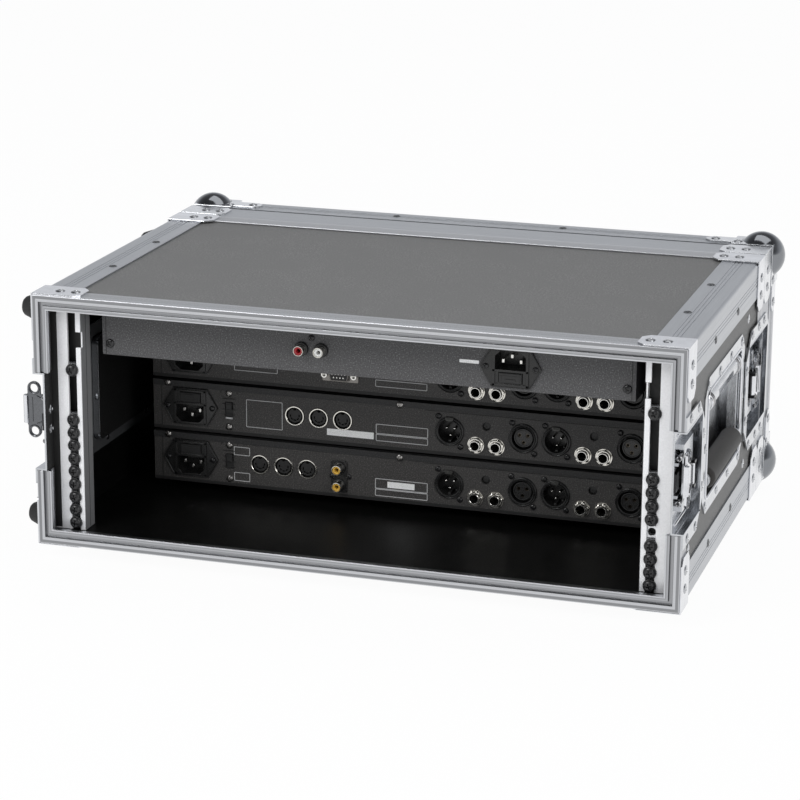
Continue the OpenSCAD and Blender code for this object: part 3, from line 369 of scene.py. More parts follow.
LAM = laminate()
ALU_Y = anodised("aluminium_long", 1)
ALU_X = anodised("aluminium_wide", 0)
BARS = frame_bars()
CHROME = chrome("chrome_plate", (0.76, 0.77, 0.80), 0.12, 0.24, 0.2)
TRAY = chrome("chrome_tray", (0.58, 0.595, 0.62), 0.10, 0.22, 0.5)
CHROME_DULL = chrome("zinc_bright", (0.70, 0.71, 0.73), 0.20, 0.36, 0.25, 0.85)
RIVET = steel("rivet_steel", (0.50, 0.51, 0.53), 0.06, 0.14, 1.0, 0.02)
RIVET_DARK = steel("rivet_countersunk", (0.16, 0.165, 0.17), 0.2, 0.35)
RAIL = rail_zinc()
CORNER = corner_chrome()
BACKPLATE = steel("backplate_zinc", (0.085, 0.087, 0.09), 0.4, 0.55, 0.3, 0.06)
SPRING = steel("spring_steel", (0.45, 0.45, 0.46), 0.18, 0.3)
SCREW = steel("screw_black", (0.016, 0.016, 0.017), 0.22, 0.38, 0.0, 0.12)
WASHER = plastic("washer_black", 0.02, 0.35, 0.5)
RUBBER = plastic("foot_rubber", 0.014, 0.55, 0.75, 0.3, 0.9)
FOAM = foam("grip_foam", (0.021, 0.0185, 0.0165))
PAINT_A = powder("unit_paint_a", (0.070, 0.069, 0.071), 0.20)
PAINT = powder("unit_paint", (0.042, 0.0400, 0.0385), (0.125, 0.118, 0.114))
COVER = powder("unit_cover_paint", (0.020, 0.020, 0.0205), 0.05)
BLACK = plastic("black_plastic", 0.010, 0.22, 0.36, 0.08)
BLACK_MATTE = plastic("black_moulding", 0.014, 0.42, 0.6, 0.15)
PRINT = plastic("print_grey", 0.50, 0.5, 0.6, 0.03)
STICKER = plastic("sticker_white", (0.86, 0.86, 0.84), 0.4, 0.5, 0.02)
PIN = steel("pin_nickel", (0.78, 0.77, 0.74), 0.12, 0.24)
RED = plastic("ring_red", (0.30, 0.010, 0.016), 0.3, 0.42, 0.04)
WHITE = plastic("ring_white", (0.75, 0.75, 0.73), 0.3, 0.42, 0.04)
YELLOW = plastic("ring_yellow", (0.60, 0.36, 0.05), 0.3, 0.42, 0.04)
BOARD = plastic("board_green", (0.02, 0.10, 0.04), 0.35, 0.5, 0.1)
COPPER = steel("winding_copper", (0.55, 0.28, 0.12), 0.25, 0.4)
TAB = steel("latch_tab", (0.06, 0.06, 0.057), 0.3, 0.45, 0.6)
SCREW_PANEL = steel("panel_screw_black", (0.012, 0.012, 0.013), 0.18, 0.32, 0.0, 0.1)
SCREW_BRIGHT = steel("panel_screw_steel", (0.34, 0.33, 0.32), 0.2, 0.34)
NICKEL = steel("connector_nickel", (0.74, 0.72, 0.67), 0.08, 0.2)
BRASS_DARK = steel("brass_dark", (0.19, 0.165, 0.13), 0.15, 0.3)
SHELL_DARK = steel("socket_shell", (0.20, 0.19, 0.18), 0.2, 0.35)
WING_SHADE = steel("latch_wing_steel", (0.165, 0.17, 0.18), 0.2, 0.36, 1.0, 0.1)
SHADE_BLACK = plastic("painted_shade_black", 0.008, 0.5, 0.7, 0.2, 0.8)
PAINT_LINE = powder("unit_paint_edge", 0.012, 0.03)
LATCH_DARK = steel("latch_black_zinc", (0.045, 0.045, 0.048), 0.22, 0.38, 1.0, 0.1)
LAMP = plastic("lamp_smoke", (0.10, 0.012, 0.010), 0.12, 0.22, 0.02)
KNOB = steel("knob_aluminium", (0.42, 0.43, 0.44), 0.22, 0.34, 1.0, 0.05)


# ---- Mesh helpers (all in the case's millimetres) ----
def weld(bm):
    bmesh.ops.remove_doubles(bm, verts=bm.verts, dist=1e-4)


def bevel_edges(o, width, segs, angle):
    b = o.modifiers.new("bevel", "BEVEL")
    b.width = width / 1000
    b.segments = segs
    b.limit_method = "ANGLE"
    b.angle_limit = math.radians(angle)
    b.harden_normals = False
    b.use_clamp_overlap = True


def add_object(name, data):
    o = bpy.data.objects.new(name, data)
    scene.collection.objects.link(o)
    return o


def loose(name, bm, mat=None):
    """A mesh object of its own, still in the space that it was drawn in."""
    me = bpy.data.meshes.new(name)
    bmesh.ops.recalc_face_normals(bm, faces=bm.faces)
    if mat:
        for v in bm.verts:
            v.co = P(*v.co)
        me.materials.append(mat)
    bm.to_mesh(me)
    bm.free()
    return add_object(name, me)


def place(name, bm, mat, body="case", bevel=0.0):
    """A piece of the scene that rides on a body."""
    weld(bm)
    o = loose(name, bm, mat)
    if bevel:
        bevel_edges(o, bevel, 2, 40)
    for p in o.data.polygons:
        p.use_smooth = True
    o.data.set_sharp_from_angle(angle=math.radians(35))
    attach(o, body)
    return o


def add_box(bm, lo, hi):
    for v in bmesh.ops.create_cube(bm, size=1.0)["verts"]:
        v.co = Vector((lo[k] + (hi[k] - lo[k]) * (v.co[k] + 0.5) for k in range(3)))


def side_box(bm, s, xs, ys, zs):
    """Box on side s, whose xs are distances from the case's middle."""
    lo, hi = sorted(s * x for x in xs)
    add_box(bm, (lo, ys[0], zs[0]), (hi, ys[1], zs[1]))


def turn_to(axis):
    """Rotation that takes +Z on to the axis."""
    return Vector(UPWARD).rotation_difference(Vector(axis)).to_matrix().to_4x4()


def bridge(bm, a, b):
    """Faces between two rings; a ring of one point closes to a tip."""
    n = max(len(a), len(b))
    for k in range(n):
        j = (k + 1) % n
        f = dict.fromkeys((a[k % len(a)], a[j % len(a)], b[j % len(b)], b[k % len(b)]))
        if len(f) > 2:
            bm.faces.new(list(f))


def add_lathe(bm, profile, at, axis, segs=32):
    """Revolves (radius, height) pairs about an axis through a place."""
    m = Matrix.Translation(Vector(at)) @ turn_to(axis)
    rings = []
    for r, h in profile:
        if not callable(r) and r < 1e-6:
            rings.append([bm.verts.new(m @ Vector((0, 0, h)))])
        else:
            turns = [2 * math.pi * k / segs for k in range(segs)]
            rings.append([bm.verts.new(m @ Vector((q * math.cos(t), q * math.sin(t), h)))
                          for t, q in ((t, r(t) if callable(r) else r) for t in turns)])
    for a, b in zip(rings, rings[1:]):
        bridge(bm, a, b)


def add_prism(bm, outline, h0, h1, at, axis, up=UPWARD):
    """Extrudes an outline of (across, up) pairs from h0 to h1 along the axis."""
    z, u = Vector(axis).normalized(), Vector(up)
    x = u.cross(z).normalized()
    lo, hi = ([bm.verts.new(Vector(at) + x * a + u * b + z * h) for a, b in outline] for h in (h0, h1))
    bm.faces.new(lo)
    bm.faces.new(hi)
    bridge(bm, lo, hi)


def hexagon(r, cap=99.0):
    """Radius of a hexagon towards an angle, for add_lathe, turned down to cap."""
    return lambda t: min(cap, r * math.cos(math.pi / 6) / math.cos(t % (math.pi / 3) - math.pi / 6))


def polar(r, degrees, cx=0.0, cy=0.0):
    t = math.radians(degrees)
    return (cx + r * math.cos(t), cy + r * math.sin(t))


def arc(cx, cy, r, a0, a1, n=6):
    return [polar(r, a0 + (a1 - a0) * k / n, cx, cy) for k in range(n + 1)]


def round_rect(w, h, r, n=5):
    return (arc(w / 2 - r, h / 2 - r, r, 0, 90, n) + arc(r - w / 2, h / 2 - r, r, 90, 180, n)
            + arc(r - w / 2, r - h / 2, r, 180, 270, n) + arc(w / 2 - r, r - h / 2, r, 270, 360, n))


def rect(x0, y0, x1, y1):
    return [(x0, y0), (x1, y0), (x1, y1), (x0, y1)]


def add_tube(bm, pts, r, sides=10, closed=False):
    """Sweeps a round section along a line of places."""
    pts = [Vector(p) for p in pts]
    rings = []
    n = len(pts)
    up = None
    for k, p in enumerate(pts):
        a = pts[(k - 1) % n] if closed or k else p
        b = pts[(k + 1) % n] if closed or k < n - 1 else p
        t = (b - a).normalized()
        if up is None:
            up = t.orthogonal().normalized()
        up = (up - t * up.dot(t)).normalized()
        s = t.cross(up)
        turns = [2 * math.pi * j / sides for j in range(sides)]
        rings.append([bm.verts.new(p + (up * math.cos(q) + s * math.sin(q)) * r) for q in turns])
    for a, b in list(zip(rings, rings[1:])) + ([(rings[-1], rings[0])] if closed else []):
        bridge(bm, a, b)
    if not closed:
        bm.faces.new(rings[0])
        bm.faces.new(rings[-1])


def coil(centre, axis, r, pitch, turns, per=14):
    z = Vector(axis).normalized()
    x = z.orthogonal().normalized()
    y = z.cross(x)
    steps = [(k / per, 2 * math.pi * k / per) for k in range(int(turns * per) + 1)]
    return [Vector(centre) + z * (pitch * k) + (x * math.cos(t) + y * math.sin(t)) * r for k, t in steps]


def subtract(a, b):
    """Mesh a minus mesh b, as a new mesh datablock."""
    m = a.modifiers.new("cut", "BOOLEAN")
    m.object = b
    m.solver = "EXACT"
    me = bpy.data.meshes.new_from_object(a.evaluated_get(bpy.context.evaluated_depsgraph_get()))
    bpy.data.objects.remove(a)
    bpy.data.objects.remove(b)
    return me


def turned_object(name, profile, segs):
    bm = bmesh.new()
    add_lathe(bm, profile, ORIGIN, UPWARD, segs)
    weld(bm)
    return loose(name, bm)


def turned(profile, segs=28):
    o = turned_object("turned", profile, segs)
    me = o.data
    bpy.data.objects.remove(o)
    return me


def copies(name, me, spots, mat, body="case", size=1.0):
    """One object made of a small mesh repeated at (place, axis, spin)."""
    bm = bmesh.new()
    for at, axis, spin in spots:
        part = bmesh.new()
        part.from_mesh(me)
        part.transform(Matrix.Translation(Vector(at)) @ turn_to(axis) @ Matrix.Rotation(spin, 4, "Z")
                       @ Matrix.Scale(size, 4))
        one = bpy.data.meshes.new("one")
        part.to_mesh(one)
        part.free()
        bm.from_mesh(one)
        bpy.data.meshes.remove(one)
    return place(name, bm, mat, body)


def dress(names, mat, bevel=0.0, segs=2):
    """A new material, and broken edges, on CAD nodes that keep their shape."""
    for n in names.split():
        o = NODE[n]
        o.data.materials.clear()
        o.data.materials.append(mat)
        if bevel:
            o.modifiers.new("weld", "WELD").merge_threshold = 2e-6
            bevel_edges(o, bevel, segs, 38)
            o.modifiers.new("normals", "WEIGHTED_NORMAL").keep_sharp = True


# ---- CAD nodes that stay ----
dress("top_panel bottom_panel left_panel right_panel lid_panel lid_rim_boards", LAM)
dress("edge_angles lid_edge_angles", ALU_Y, 0.25)
dress("opening_frames", BARS, 0.3)
dress("lid_frame", ALU_X, 0.3)
dress("corner_braces", CHROME, 0.45)
dress("lid_corners", CORNER, 0.45)
dress("rack_rails", RAIL, 0.25)
dress("rack_nuts", CHROME_DULL, 0.3)
dress("rubber_feet", RUBBER, 0.6, 3)
dress("left_handle_dish right_handle_dish latch_dishes lid_keepers", TRAY, 0.4)
dress("left_handle_bow right_handle_bow", CHROME_DULL, 0.5, 3)
dress("left_handle_grip right_handle_grip", FOAM)
dress("handle_backplates", BACKPLATE, 0.3)
for p in ("rear_left", "rear_right", "front_left", "front_right"):
    dress(p + "_spindle " + p + "_hook", LATCH_DARK, 0.15)
    # The open rear left wing takes a dark steel colour as painted shade; the other three are chrome
    dress(p + "_wing", WING_SHADE if p == "rear_left" else CHROME, 0.3)
dress("unit_a_chassis", PAINT_A, 0.2)
dress("unit_b_chassis unit_c_chassis unit_d_chassis", PAINT, 0.2)
dress("unit_covers", COVER, 0.2)
dress("unit_front_panels", PAINT_A, 0.4)
dress("mains_inlets", BLACK, 0.35)
dress("panel_sockets", BLACK, 0.15)
dress("jack_sockets", PIN, 0.15)
dress("unit_a_fuse_drawer unit_c_fuse_drawer unit_d_fuse_drawer", BLACK_MATTE, 0.3)
dress("unit_c_voltage_switch unit_d_voltage_switch", BLACK_MATTE, 0.2)
dress("unit_a_power_button", BLACK_MATTE, 0.4)
dress("unit_b_knob unit_c_knob unit_d_knob", KNOB, 0.6)
dress("circuit_boards", BOARD, 0.1)
dress("transformers", COPPER, 0.8)

# ---- Small meshes used many times, each along +Z from its seat at Z = 0 ----
def phillips(r, h, arm, wide, deep, shank=0.0, shank_r=1.0):
    """Pan head with a cross recess; the shank hangs below the seat."""
    prof = [(0, -shank)] if shank else [(0, 0)]
    if shank:
        prof += [(shank_r * 0.7, -shank), (shank_r, -shank + 0.6)]
        n = int(shank)
        for k in range(n):
            z = -shank + 0.6 + (shank - 0.8) * k / n
            prof += [(shank_r, z + 0.25), (shank_r * 0.86, z + 0.5), (shank_r, z + 0.75)]
        prof += [(shank_r, 0)]
    prof += [(r * 0.96, 0), (r, h * 0.10), (r, h * 0.32)]
    for a in (18, 36, 54, 70):
        across, up = polar(1.0, a)
        prof.append((r * across, h * (0.32 + 0.68 * up)))
    head = turned_object("head", prof + [(0, h)], 28)
    bm = bmesh.new()
    a, w = arm, wide / 2
    cross = [(a, -w), (a, w), (w, w), (w, a), (-w, a), (-w, w), (-a, w), (-a, -w), (-w, -w), (-w, -a), (w, -a), (w, -w)]
    bot = [bm.verts.new((x * 0.62, y * 0.62, h - deep)) for x, y in cross]
    top = [bm.verts.new((x * 1.1, y * 1.1, h + 0.6)) for x, y in cross]
    bm.faces.new(bot)
    bm.faces.new(top)
    bridge(bm, bot, top)
    return subtract(head, loose("cross", bm))


RACK_SCREW = phillips(4.55, 3.1, 2.5, 1.25, 1.9, 9.0, 2.95)
CUP = turned([(3.1, 0.0), (5.15, 0.0), (5.2, 0.3), (5.0, 1.5), (4.65, 1.75), (4.3, 1.5), (3.1, 0.7), (3.1, 0.0)])
SMALL_SCREW = phillips(2.45, 1.7, 1.45, 0.75, 1.0)
PANEL_SCREW = phillips(2.9, 1.6, 1.7, 0.8, 0.9)
DOMED = turned([(0, 0), (4.0, 0), (4.0, 0.14), (3.75, 0.45), (3.1, 0.76), (2.1, 0.92), (1.6, 0.92), (1.35, 0.60),
                (1.30, 0.30), (1.05, 0.26), (0.9, 0.52), (0.5, 0.62), (0, 0.64)], 24)
SUNK = turned([(0, 0.02), (3.3, 0.02), (3.3, 0.24), (2.95, 0.40), (2.6, 0.34), (2.35, 0.05), (1.2, 0.05), (1.0, 0.3),
               (0.6, 0.4), (0, 0.4)], 24)

# ---- Rack screws: heads on cup washers ----
rear_screw_z = {-1: [140.8] + [100 - 10.6 * k for k in range(9)],
                1: [148.3] + [97.5 - 10.4 * k for k in range(9) if k != 4]}
screw_spots = [((s * slot_x, rail_set, z), BACK, 0.5 + 1.9 * k * s + 0.3 * k * k)
               for s in SIDES for k, z in enumerate(rear_screw_z[s])]
screw_spots += [((s * slot_x, front_rail_y + ear_t, unit_mid(i) + v), FORE, 0.4 + i + s + v)
                for s in SIDES for i in range(4) for v in (-rack_hole_v, rack_hole_v)]
on_washers = [((x, y + a[1] * 0.85, z), a, t) for (x, y, z), a, t in screw_spots]
screws = copies("rack_screw_heads", RACK_SCREW, on_washers, SCREW)
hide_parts("rack_screws")
copies("rack_screw_washers", CUP, screw_spots, WASHER)


# ---- Rivets ----
def brace_spots(y, xs, zs, sides=SIDES, ends=ENDS):
    """Rivets of the corner braces, on the top or bottom (xs) and on the sides (zs)."""
    out = []
    for s, m in product(sides, ends):
        out += [((s * (half_w - x), y + 14, level(m, -plate_t)), OUT_Z[m], x * s + m) for x in xs]
        out += [((s * (half_w + plate_t), y + 14, level(m, z)), (s, 0, 0), z + m) for z in zs]
    return out


brace_x, brace_z = (18, 31), (15, 29.5)
tray_rivet_v = 46.5
bright = brace_spots(284.5, brace_x, brace_z) + brace_spots(0.5, brace_x, brace_z, (1,))
bright += brace_spots(0.5, brace_x, (29.5,), (-1,), (0,)) + brace_spots(0.5, brace_x, (), (-1,), (1,))
dark = []
for s, m, y in product(SIDES, ENDS, (body_d * 0.345, body_d * 0.64)):
    dark.append(((s * (half_w - 22.5), y, level(m, 0)), OUT_Z[m], y))
    dark.append(((s * half_w, y, level(m, 20)), (s, 0, 0), y))
for s in SIDES:
    for v in SIDES:
        for u, w, spin in [(u, v * 48, u) for u in (-69, -23, 23, 69)] + [(v * 75, 0, v)]:
            bright.append(((s * (ply_x + plate_t), handle_y + u, handle_z + w), (s, 0, 0), spin))
    bright += [((s * ply_x, y, z), (s, 0, 0), y + z) for y in (33, body_d - 56) for z in (40, case_h - 40)]
    for end, v in product(ENDS, SIDES):
        for u, w in ((16, tray_rivet_v), (46, tray_rivet_v), (65.9, 21)):
            bright.append(((s * (half_w + plate_t), body_d - u if end else u, latch_z + v * w), (s, 0, 0), u + v))
        bright.append(((s * wall_x, body_d - 11 if end else 11, latch_z + 8 * v), (-s, 0, 0), v))
rivets = copies("case_rivet_heads", DOMED, bright, RIVET)
sunk = copies("angle_rivet_heads", SUNK, dark, RIVET_DARK)
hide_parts("case_rivets")
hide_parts("case_rivets")
lid = brace_spots(body_d + 1, brace_x, brace_z)
lid_dark = []
for s in SIDES:
    for m, (a, b) in product(ENDS, ((50, 14), (30, 19))):
        lid.append(((s * (half_w - a), total_d - b, level(m, -plate_t)), OUT_Z[m], a))
        lid.append(((s * (half_w + plate_t), total_d - b, level(m, a)), (s, 0, 0), b))
    lid += [((s * (half_w + plate_t), body_d + 8, latch_z + tray_rivet_v * v), (s, 0, 0), v) for v in SIDES]
for m in ENDS:
    lid_dark += [((x, total_d - 13, level(m, 0)), OUT_Z[m], x) for x in (-75, 75)]
    lid_dark += [((x, total_d, level(m, 20)), FORE, x) for x in (-150, -50, 50, 150)]
a = copies("lid_rivet_heads", DOMED, lid, RIVET, "lid")
b = copies("lid_angle_rivet_heads", SUNK, lid_dark, RIVET_DARK, "lid")
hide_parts("lid_rivets")
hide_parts("lid_rivets")


# ---- Connectors on the rear panels ----
def face(i, x, v, out=0.0):
    """A place on unit i's rear panel, out in front of it."""
    return (x, unit_y(i) - out, unit_mid(i) + v)


def face_box(bm, i, lo, hi):
    """Box on unit i's rear panel between two (x, v, out)."""
    add_box(bm, face(i, *lo), face(i, *hi))


def seat(i, x, v, spin=0.0, out=0.0):
    """A spot for copies() on unit i's rear panel."""
    return face(i, x, v, out), BACK, spin


def turn_up():
    """Spin that puts a small mesh's +X on the case's +X when it points back."""
    x = turn_to(BACK).to_3x3().inverted() @ Vector((1, 0, 0))
    return math.atan2(x.y, x.x)


UP = turn_up()
short = (1, 2, 3)  # the units B, C and D
male_x, female_x, pole_v = (41, 129), (102, 190), -0.8
jack_x, jack_v, trim_x, trim_v = (63, 80, 151, 168), -10, (71.5, 159.5), 6
pole_places = [polar(3.9, t) for t in (30, 150, 270)]
bezel = [(12.1, 0), (12.15, 0.7), (11.9, 1.25), (11.3, 1.5), (10.95, 1.35), (10.8, 0.95), (10.5, 0.95), (10.35, 1.4),
         (9.9, 1.75), (9.3, 1.6)]
MALE = turned([(0, -13.6), (10.3, -13.6), (10.3, 0)] + bezel + [(9.0, 1.1), (9.0, -12.6), (0, -12.6)], 40)
POLE = turned([(0, 0), (1.2, 0), (1.2, 9.0), (1.0, 9.9), (0.5, 10.4), (0, 10.5)], 14)
SLEEVE = turned([(1.40, 0), (1.40, 4.6), (1.15, 4.6), (1.0, 4.3), (1.0, 0), (1.40, 0)], 16)
female = turned_object("female", [(0, -12), (10.3, -12), (10.3, 0)] + bezel + [
    (9.15, 1.0), (9.15, -8.5), (7.9, -8.5), (7.9, -0.9), (7.6, -0.35), (7.1, -0.2), (6.6, -0.35), (6.3, -0.8),
    (0, -0.9)], 40)
bm = bmesh.new()
for a, b in pole_places:
    add_lathe(bm, [(0, -7.5), (1.45, -7.5), (1.45, -1.3), (1.75, -0.7), (1.75, 2), (0, 2)], (a, b, 0), UPWARD, 16)
weld(bm)
FEMALE = subtract(female, loose("holes", bm))


def on_units(xs, v, spin=UP):
    return [seat(i, x, v, spin) for i in short for x in xs]


def in_poles(xs, out):
    return [seat(i, x + a, pole_v + b, 0, out) for i in short for x in xs for a, b in pole_places]


m = copies("pole_sockets_male", MALE, on_units(male_x, pole_v), BLACK)
f = copies("pole_sockets_female", FEMALE, on_units(female_x, pole_v), BLACK)
copies("pole_pins", POLE, in_poles(male_x, -12.6), PIN)
copies("pole_sleeves", SLEEVE, in_poles(female_x, -6.4), BRASS_DARK)
# Keys in the male cups and the latch tabs at the top
keys, tabs = bmesh.new(), bmesh.new()
for i, x in product(short, male_x):
    face_box(keys, i, (x - 1.1, pole_v - 9.1, -1.0), (x + 1.1, pole_v - 7.4, -12.0))
    face_box(keys, i, (x + 5.2, pole_v - 5.6, -2.0), (x + 6.6, pole_v - 4.2, -12.0))
    add_prism(tabs, [(-2.6, 8.9), (2.6, 8.9), (3.3, 10.2), (3.3, 12.1), (-3.3, 12.1), (-3.3, 10.2)], 0.6, 2.1,
              face(i, x, pole_v), BACK)
    face_box(tabs, i, (x - 2.2, pole_v + 10.3, 2.6), (x + 2.2, pole_v + 11.2, 2.0))
place("pole_keys", keys, BLACK_MATTE, bevel=0.2)
place("pole_latch_tabs", tabs, TAB, bevel=0.25)
copies("pole_screws", SMALL_SCREW, [seat(i, x + a, pole_v + b, x + a + i) for i in short for x in male_x + female_x
                                    for a, b in ((-9.2, 12.1), (9.2, -12.1))], SCREW_PANEL)

# Round five pole sockets
RING = turned([(6.9, -3), (8.35, 0), (8.4, 0.5), (8.0, 0.95), (7.3, 1.0), (7.0, 0.7), (6.9, -3)], 40)
din = turned_object("din", [(0, -8), (7.45, -8), (7.45, -0.2), (6.95, 0.1), (6.95, -5), (6.0, -5), (6.0, -0.2),
                            (5.8, 0.0), (0, 0.0)], 40)
bm = bmesh.new()
for t in (180, 225, 270, 315, 360):
    add_prism(bm, round_rect(2.3, 1.1, 0.5, 3), -5, 1, (*polar(3.7, t), 0), UPWARD, (*polar(1.0, t), 0))
add_prism(bm, round_rect(2.6, 2.2, 0.4, 3), -5, 1, (0, 5.6, 0), UPWARD, (0, 1, 0))
DIN = subtract(din, loose("slots", bm))
at = [seat(i, x + k * 20.6, 0, UP) for i, x in ((2, -90.4), (3, -120.8)) for k in range(3)]
d = copies("din_inserts", DIN, at, BLACK_MATTE)
copies("din_rings", RING, at, NICKEL)

# Nine pole data socket
data_x, data_v = -51, -6
shell, insert, posts = bmesh.new(), bmesh.new(), bmesh.new()
for bm, outline, h0, h1 in (
        (shell, round_rect(30.8, 12.4, 1.2), 0, 1.0),
        (shell, [(-9.4, 4.8), (9.4, 4.8), (7.7, -4.8), (-7.7, -4.8)], 0.9, 2.0),
        (shell, [(-8.8, 4.3), (8.8, 4.3), (7.2, -4.3), (-7.2, -4.3)], 1.9, 5.4),
        (insert, [(-8.1, 3.7), (8.1, 3.7), (6.6, -3.7), (-6.6, -3.7)], 5.3, 5.65)):
    add_prism(bm, outline, h0, h1, face(1, data_x, data_v), BACK)
s9 = place("data_socket_shell", shell, SHELL_DARK, bevel=0.3)
place("data_socket_insert", insert, BLACK_MATTE, bevel=0.1)
for x in (-12.5, 12.5):
    add_lathe(posts, [(0, 1), (hexagon(2.75), 1), (hexagon(2.75), 4.6), (hexagon(2.75, 2.4), 5.2), (1.5, 5.2),
                      (1.4, 2.5), (0, 2.5)], face(1, data_x + x, data_v), BACK, 36)
for k, v in [(k, 1.4) for k in range(-2, 3)] + [(k, -1.4) for k in (-1.5, -0.5, 0.5, 1.5)]:
    add_lathe(posts, [(0, 5.4), (0.55, 5.4), (0.55, 5.95), (0.3, 5.95), (0, 5.7)],
              face(1, data_x + 2.7 * k, data_v + v), BACK, 12)
place("data_socket_posts", posts, PIN)
for o in (m, f, d, s9):
    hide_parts("panel_sockets")

# Quarter inch jacks: nut, washer, threaded bush and the body behind
NUT = turned([(4.65, 0.6), (hexagon(6.7), 0.6), (hexagon(6.7), 1.9), (hexagon(6.7, 6.25), 2.3),
              (hexagon(6.7, 5.6), 2.65), (4.65, 2.65), (4.65, 0.6)], 72)
WASH = turned([(4.6, 0), (6.95, 0), (7.0, 0.3), (6.85, 0.6), (4.6, 0.6), (4.6, 0)], 40)
BUSH = turned([(3.3, -1), (4.6, -1), (4.6, 2.5), (4.45, 2.7), (4.6, 2.95), (4.45, 3.2), (4.6, 3.45), (4.45, 3.7),
               (4.6, 3.95), (4.55, 4.3), (4.2, 4.6), (3.75, 4.6), (3.45, 4.35), (3.3, 3.6), (3.3, -1)], 36)
TIPS = turned([(0, -9.2), (1.1, -9.2), (1.6, -8.2), (1.2, -7.2), (0, -7.0)], 14)
bm = bmesh.new()
add_lathe(bm, [(3.3, 2.2), (3.3, -23.5), (0, -23.5), (0, -30), (8.4, -30), (8.4, -1.3), (4.3, -1.3), (4.3, 2.2),
               (3.3, 2.2)], ORIGIN, UPWARD, 36)
weld(bm)
for v in bm.verts:
    if v.co.xy.length > 6:  # the body's outside is pressed square
        v.co.x = max(-6.0, min(6.0, v.co.x * 1.3))
        v.co.y = max(-6.0, min(6.0, v.co.y * 1.3))
BODY = bpy.data.meshes.new("jack_body")
bm.to_mesh(BODY)
bm.free()
jacks = [seat(i, x, jack_v, x * 0.37 + i) for i in short for x in jack_x]
j = copies("jack_nuts", NUT, jacks, NICKEL)
copies("jack_washers", WASH, jacks, NICKEL)
copies("jack_bushes", BUSH, jacks, PIN)
copies("jack_bodies", BODY, on_units(jack_x, jack_v), BLACK_MATTE)
copies("jack_contacts", TIPS, [((x + 1.6, y, z - 0.6), a, t) for (x, y, z), a, t in jacks], BRASS_DARK)

# Phono sockets: two on unit D, two on unit A
PH_BASE = turned([(0, -8), (5.6, -8), (5.6, 1.3), (5.2, 1.9), (4.6, 2.1), (0, 2.1)], 32)
PH_SHELL = turned([(3.3, 1), (4.15, 1), (4.15, 8.4), (3.9, 8.9), (3.5, 8.95), (3.3, 8.6), (3.3, 1)], 32)
PH_CORE = turned([(1.55, 1), (3.25, 1), (3.25, 8.0), (2.9, 8.25), (2.0, 8.2), (1.7, 7.9), (1.55, 7.4), (1.55, 1)], 28)
PH_TIP = turned([(0, 1), (1.5, 1), (1.5, 3.0), (1.1, 3.1), (1.0, 2.2), (0, 2.2)], 18)
at = [seat(3, -52, 4), seat(3, -52, -10.5), seat(0, -48.5, -2.5), seat(0, -32.5, -2.5)]
p0 = copies("phono_bases", PH_BASE, at, BLACK)
copies("phono_shells_a", PH_SHELL, at[2:], NICKEL)
copies("phono_shells_d", PH_SHELL, at[:2], NICKEL)
copies("phono_cores_yellow", PH_CORE, at[:2], YELLOW)
copies("phono_core_red", PH_CORE, at[2:3], RED)
copies("phono_core_white", PH_CORE, at[3:], WHITE)
copies("phono_contacts", PH_TIP, at, BRASS_DARK)
bm = bmesh.new()
add_prism(bm, round_rect(13.6, 27.0, 2.2), 0, 1.0, face(3, -52, -3.2), BACK)
place("phono_plate", bm, BLACK, bevel=0.25)
for o in (j, p0):
    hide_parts("jack_sockets")
copies("phono_screws", SMALL_SCREW,
       [seat(3, -57.6, -3.3, 0.5, 0.9), seat(3, -44.2, -3.0, 1.2), seat(0, -40.3, 6.6, 0.7)], SCREW_PANEL)

# Level controls sunk in their holes
TRIM = turned([(0, -4), (3.1, -4), (3.1, -1.6), (2.7, -1.4), (0.5, -1.4), (0.4, -2.0), (0, -2.0)], 24)
EYE = turned([(3.25, 0), (3.7, 0), (3.65, 0.25), (3.3, 0.3), (3.25, 0)], 28)
copies("trim_shafts", TRIM, on_units(trim_x, trim_v, 0), BLACK_MATTE)
copies("trim_rings", EYE, on_units(trim_x, trim_v, 0), BLACK)

# ---- Mains inlets: rims, blades, screws, the shape of the opening ----
INLETS = ((0, 118, -3, -1), (1, -181, 0, 1), (2, -181, 0, 1), (3, -181, 0, 1))  # unit, x, v, way up
FUSES = {0: "unit_a_fuse_drawer", 2: "unit_c_fuse_drawer", 3: "unit_d_fuse_drawer"}


def inlet(i, x, v, g):
    """Pieces round one inlet; g is -1 where it is turned half way round."""
    at, up = face(i, x, v), (0, 0, g)
    rim, blades = bmesh.new(), bmesh.new()
    # A raised frame round the pins and the drawer
    for box in ((-14.1, -14.3, 14.1, -13.0), (-14.1, -14.3, -12.0, 14.3), (12.0, -14.3, 14.1, 14.3),
                (-14.1, 12.6, 14.1, 14.3), (-14.1, 1.5, 14.1, 3.4)):
        add_prism(rim, rect(*box), 1.9, 2.9, at, BACK, up)
    # Lower corners of the opening
    for c in SIDES:
        add_prism(rim, [(c * 12.1, -13.1), (c * 12.1, -8.6), (c * 7.6, -13.1)], -14, 2.9, at, BACK, up)
    # Line round the edge of the flange
    outer = [Vector(p) for p in ((-15, -15.5), (15, -15.5), (24, 0), (15, 15.5), (-15, 15.5), (-24, 0))]
    for a, b in zip(outer, outer[1:] + outer[:1]):
        add_prism(rim, [a * 0.995, b * 0.995, b * 0.955, a * 0.955], 1.9, 2.35, at, BACK, up)
    for k in (-7, 0, 7):
        y0, y1 = (-5.6, -2.4) if k else (-9.6, -6.4)
        add_prism(blades, rect(k - 1.1, y0, k + 1.1, y1), -14, -2.3, at, BACK, up)
    place("inlet_rim_%d" % i, rim, BLACK, bevel=0.22)
    place("inlet_blades_%d" % i, blades, PIN, bevel=0.35)
    return [seat(i, x + c * 19.4, v, x + c, 2.0) for c in SIDES]


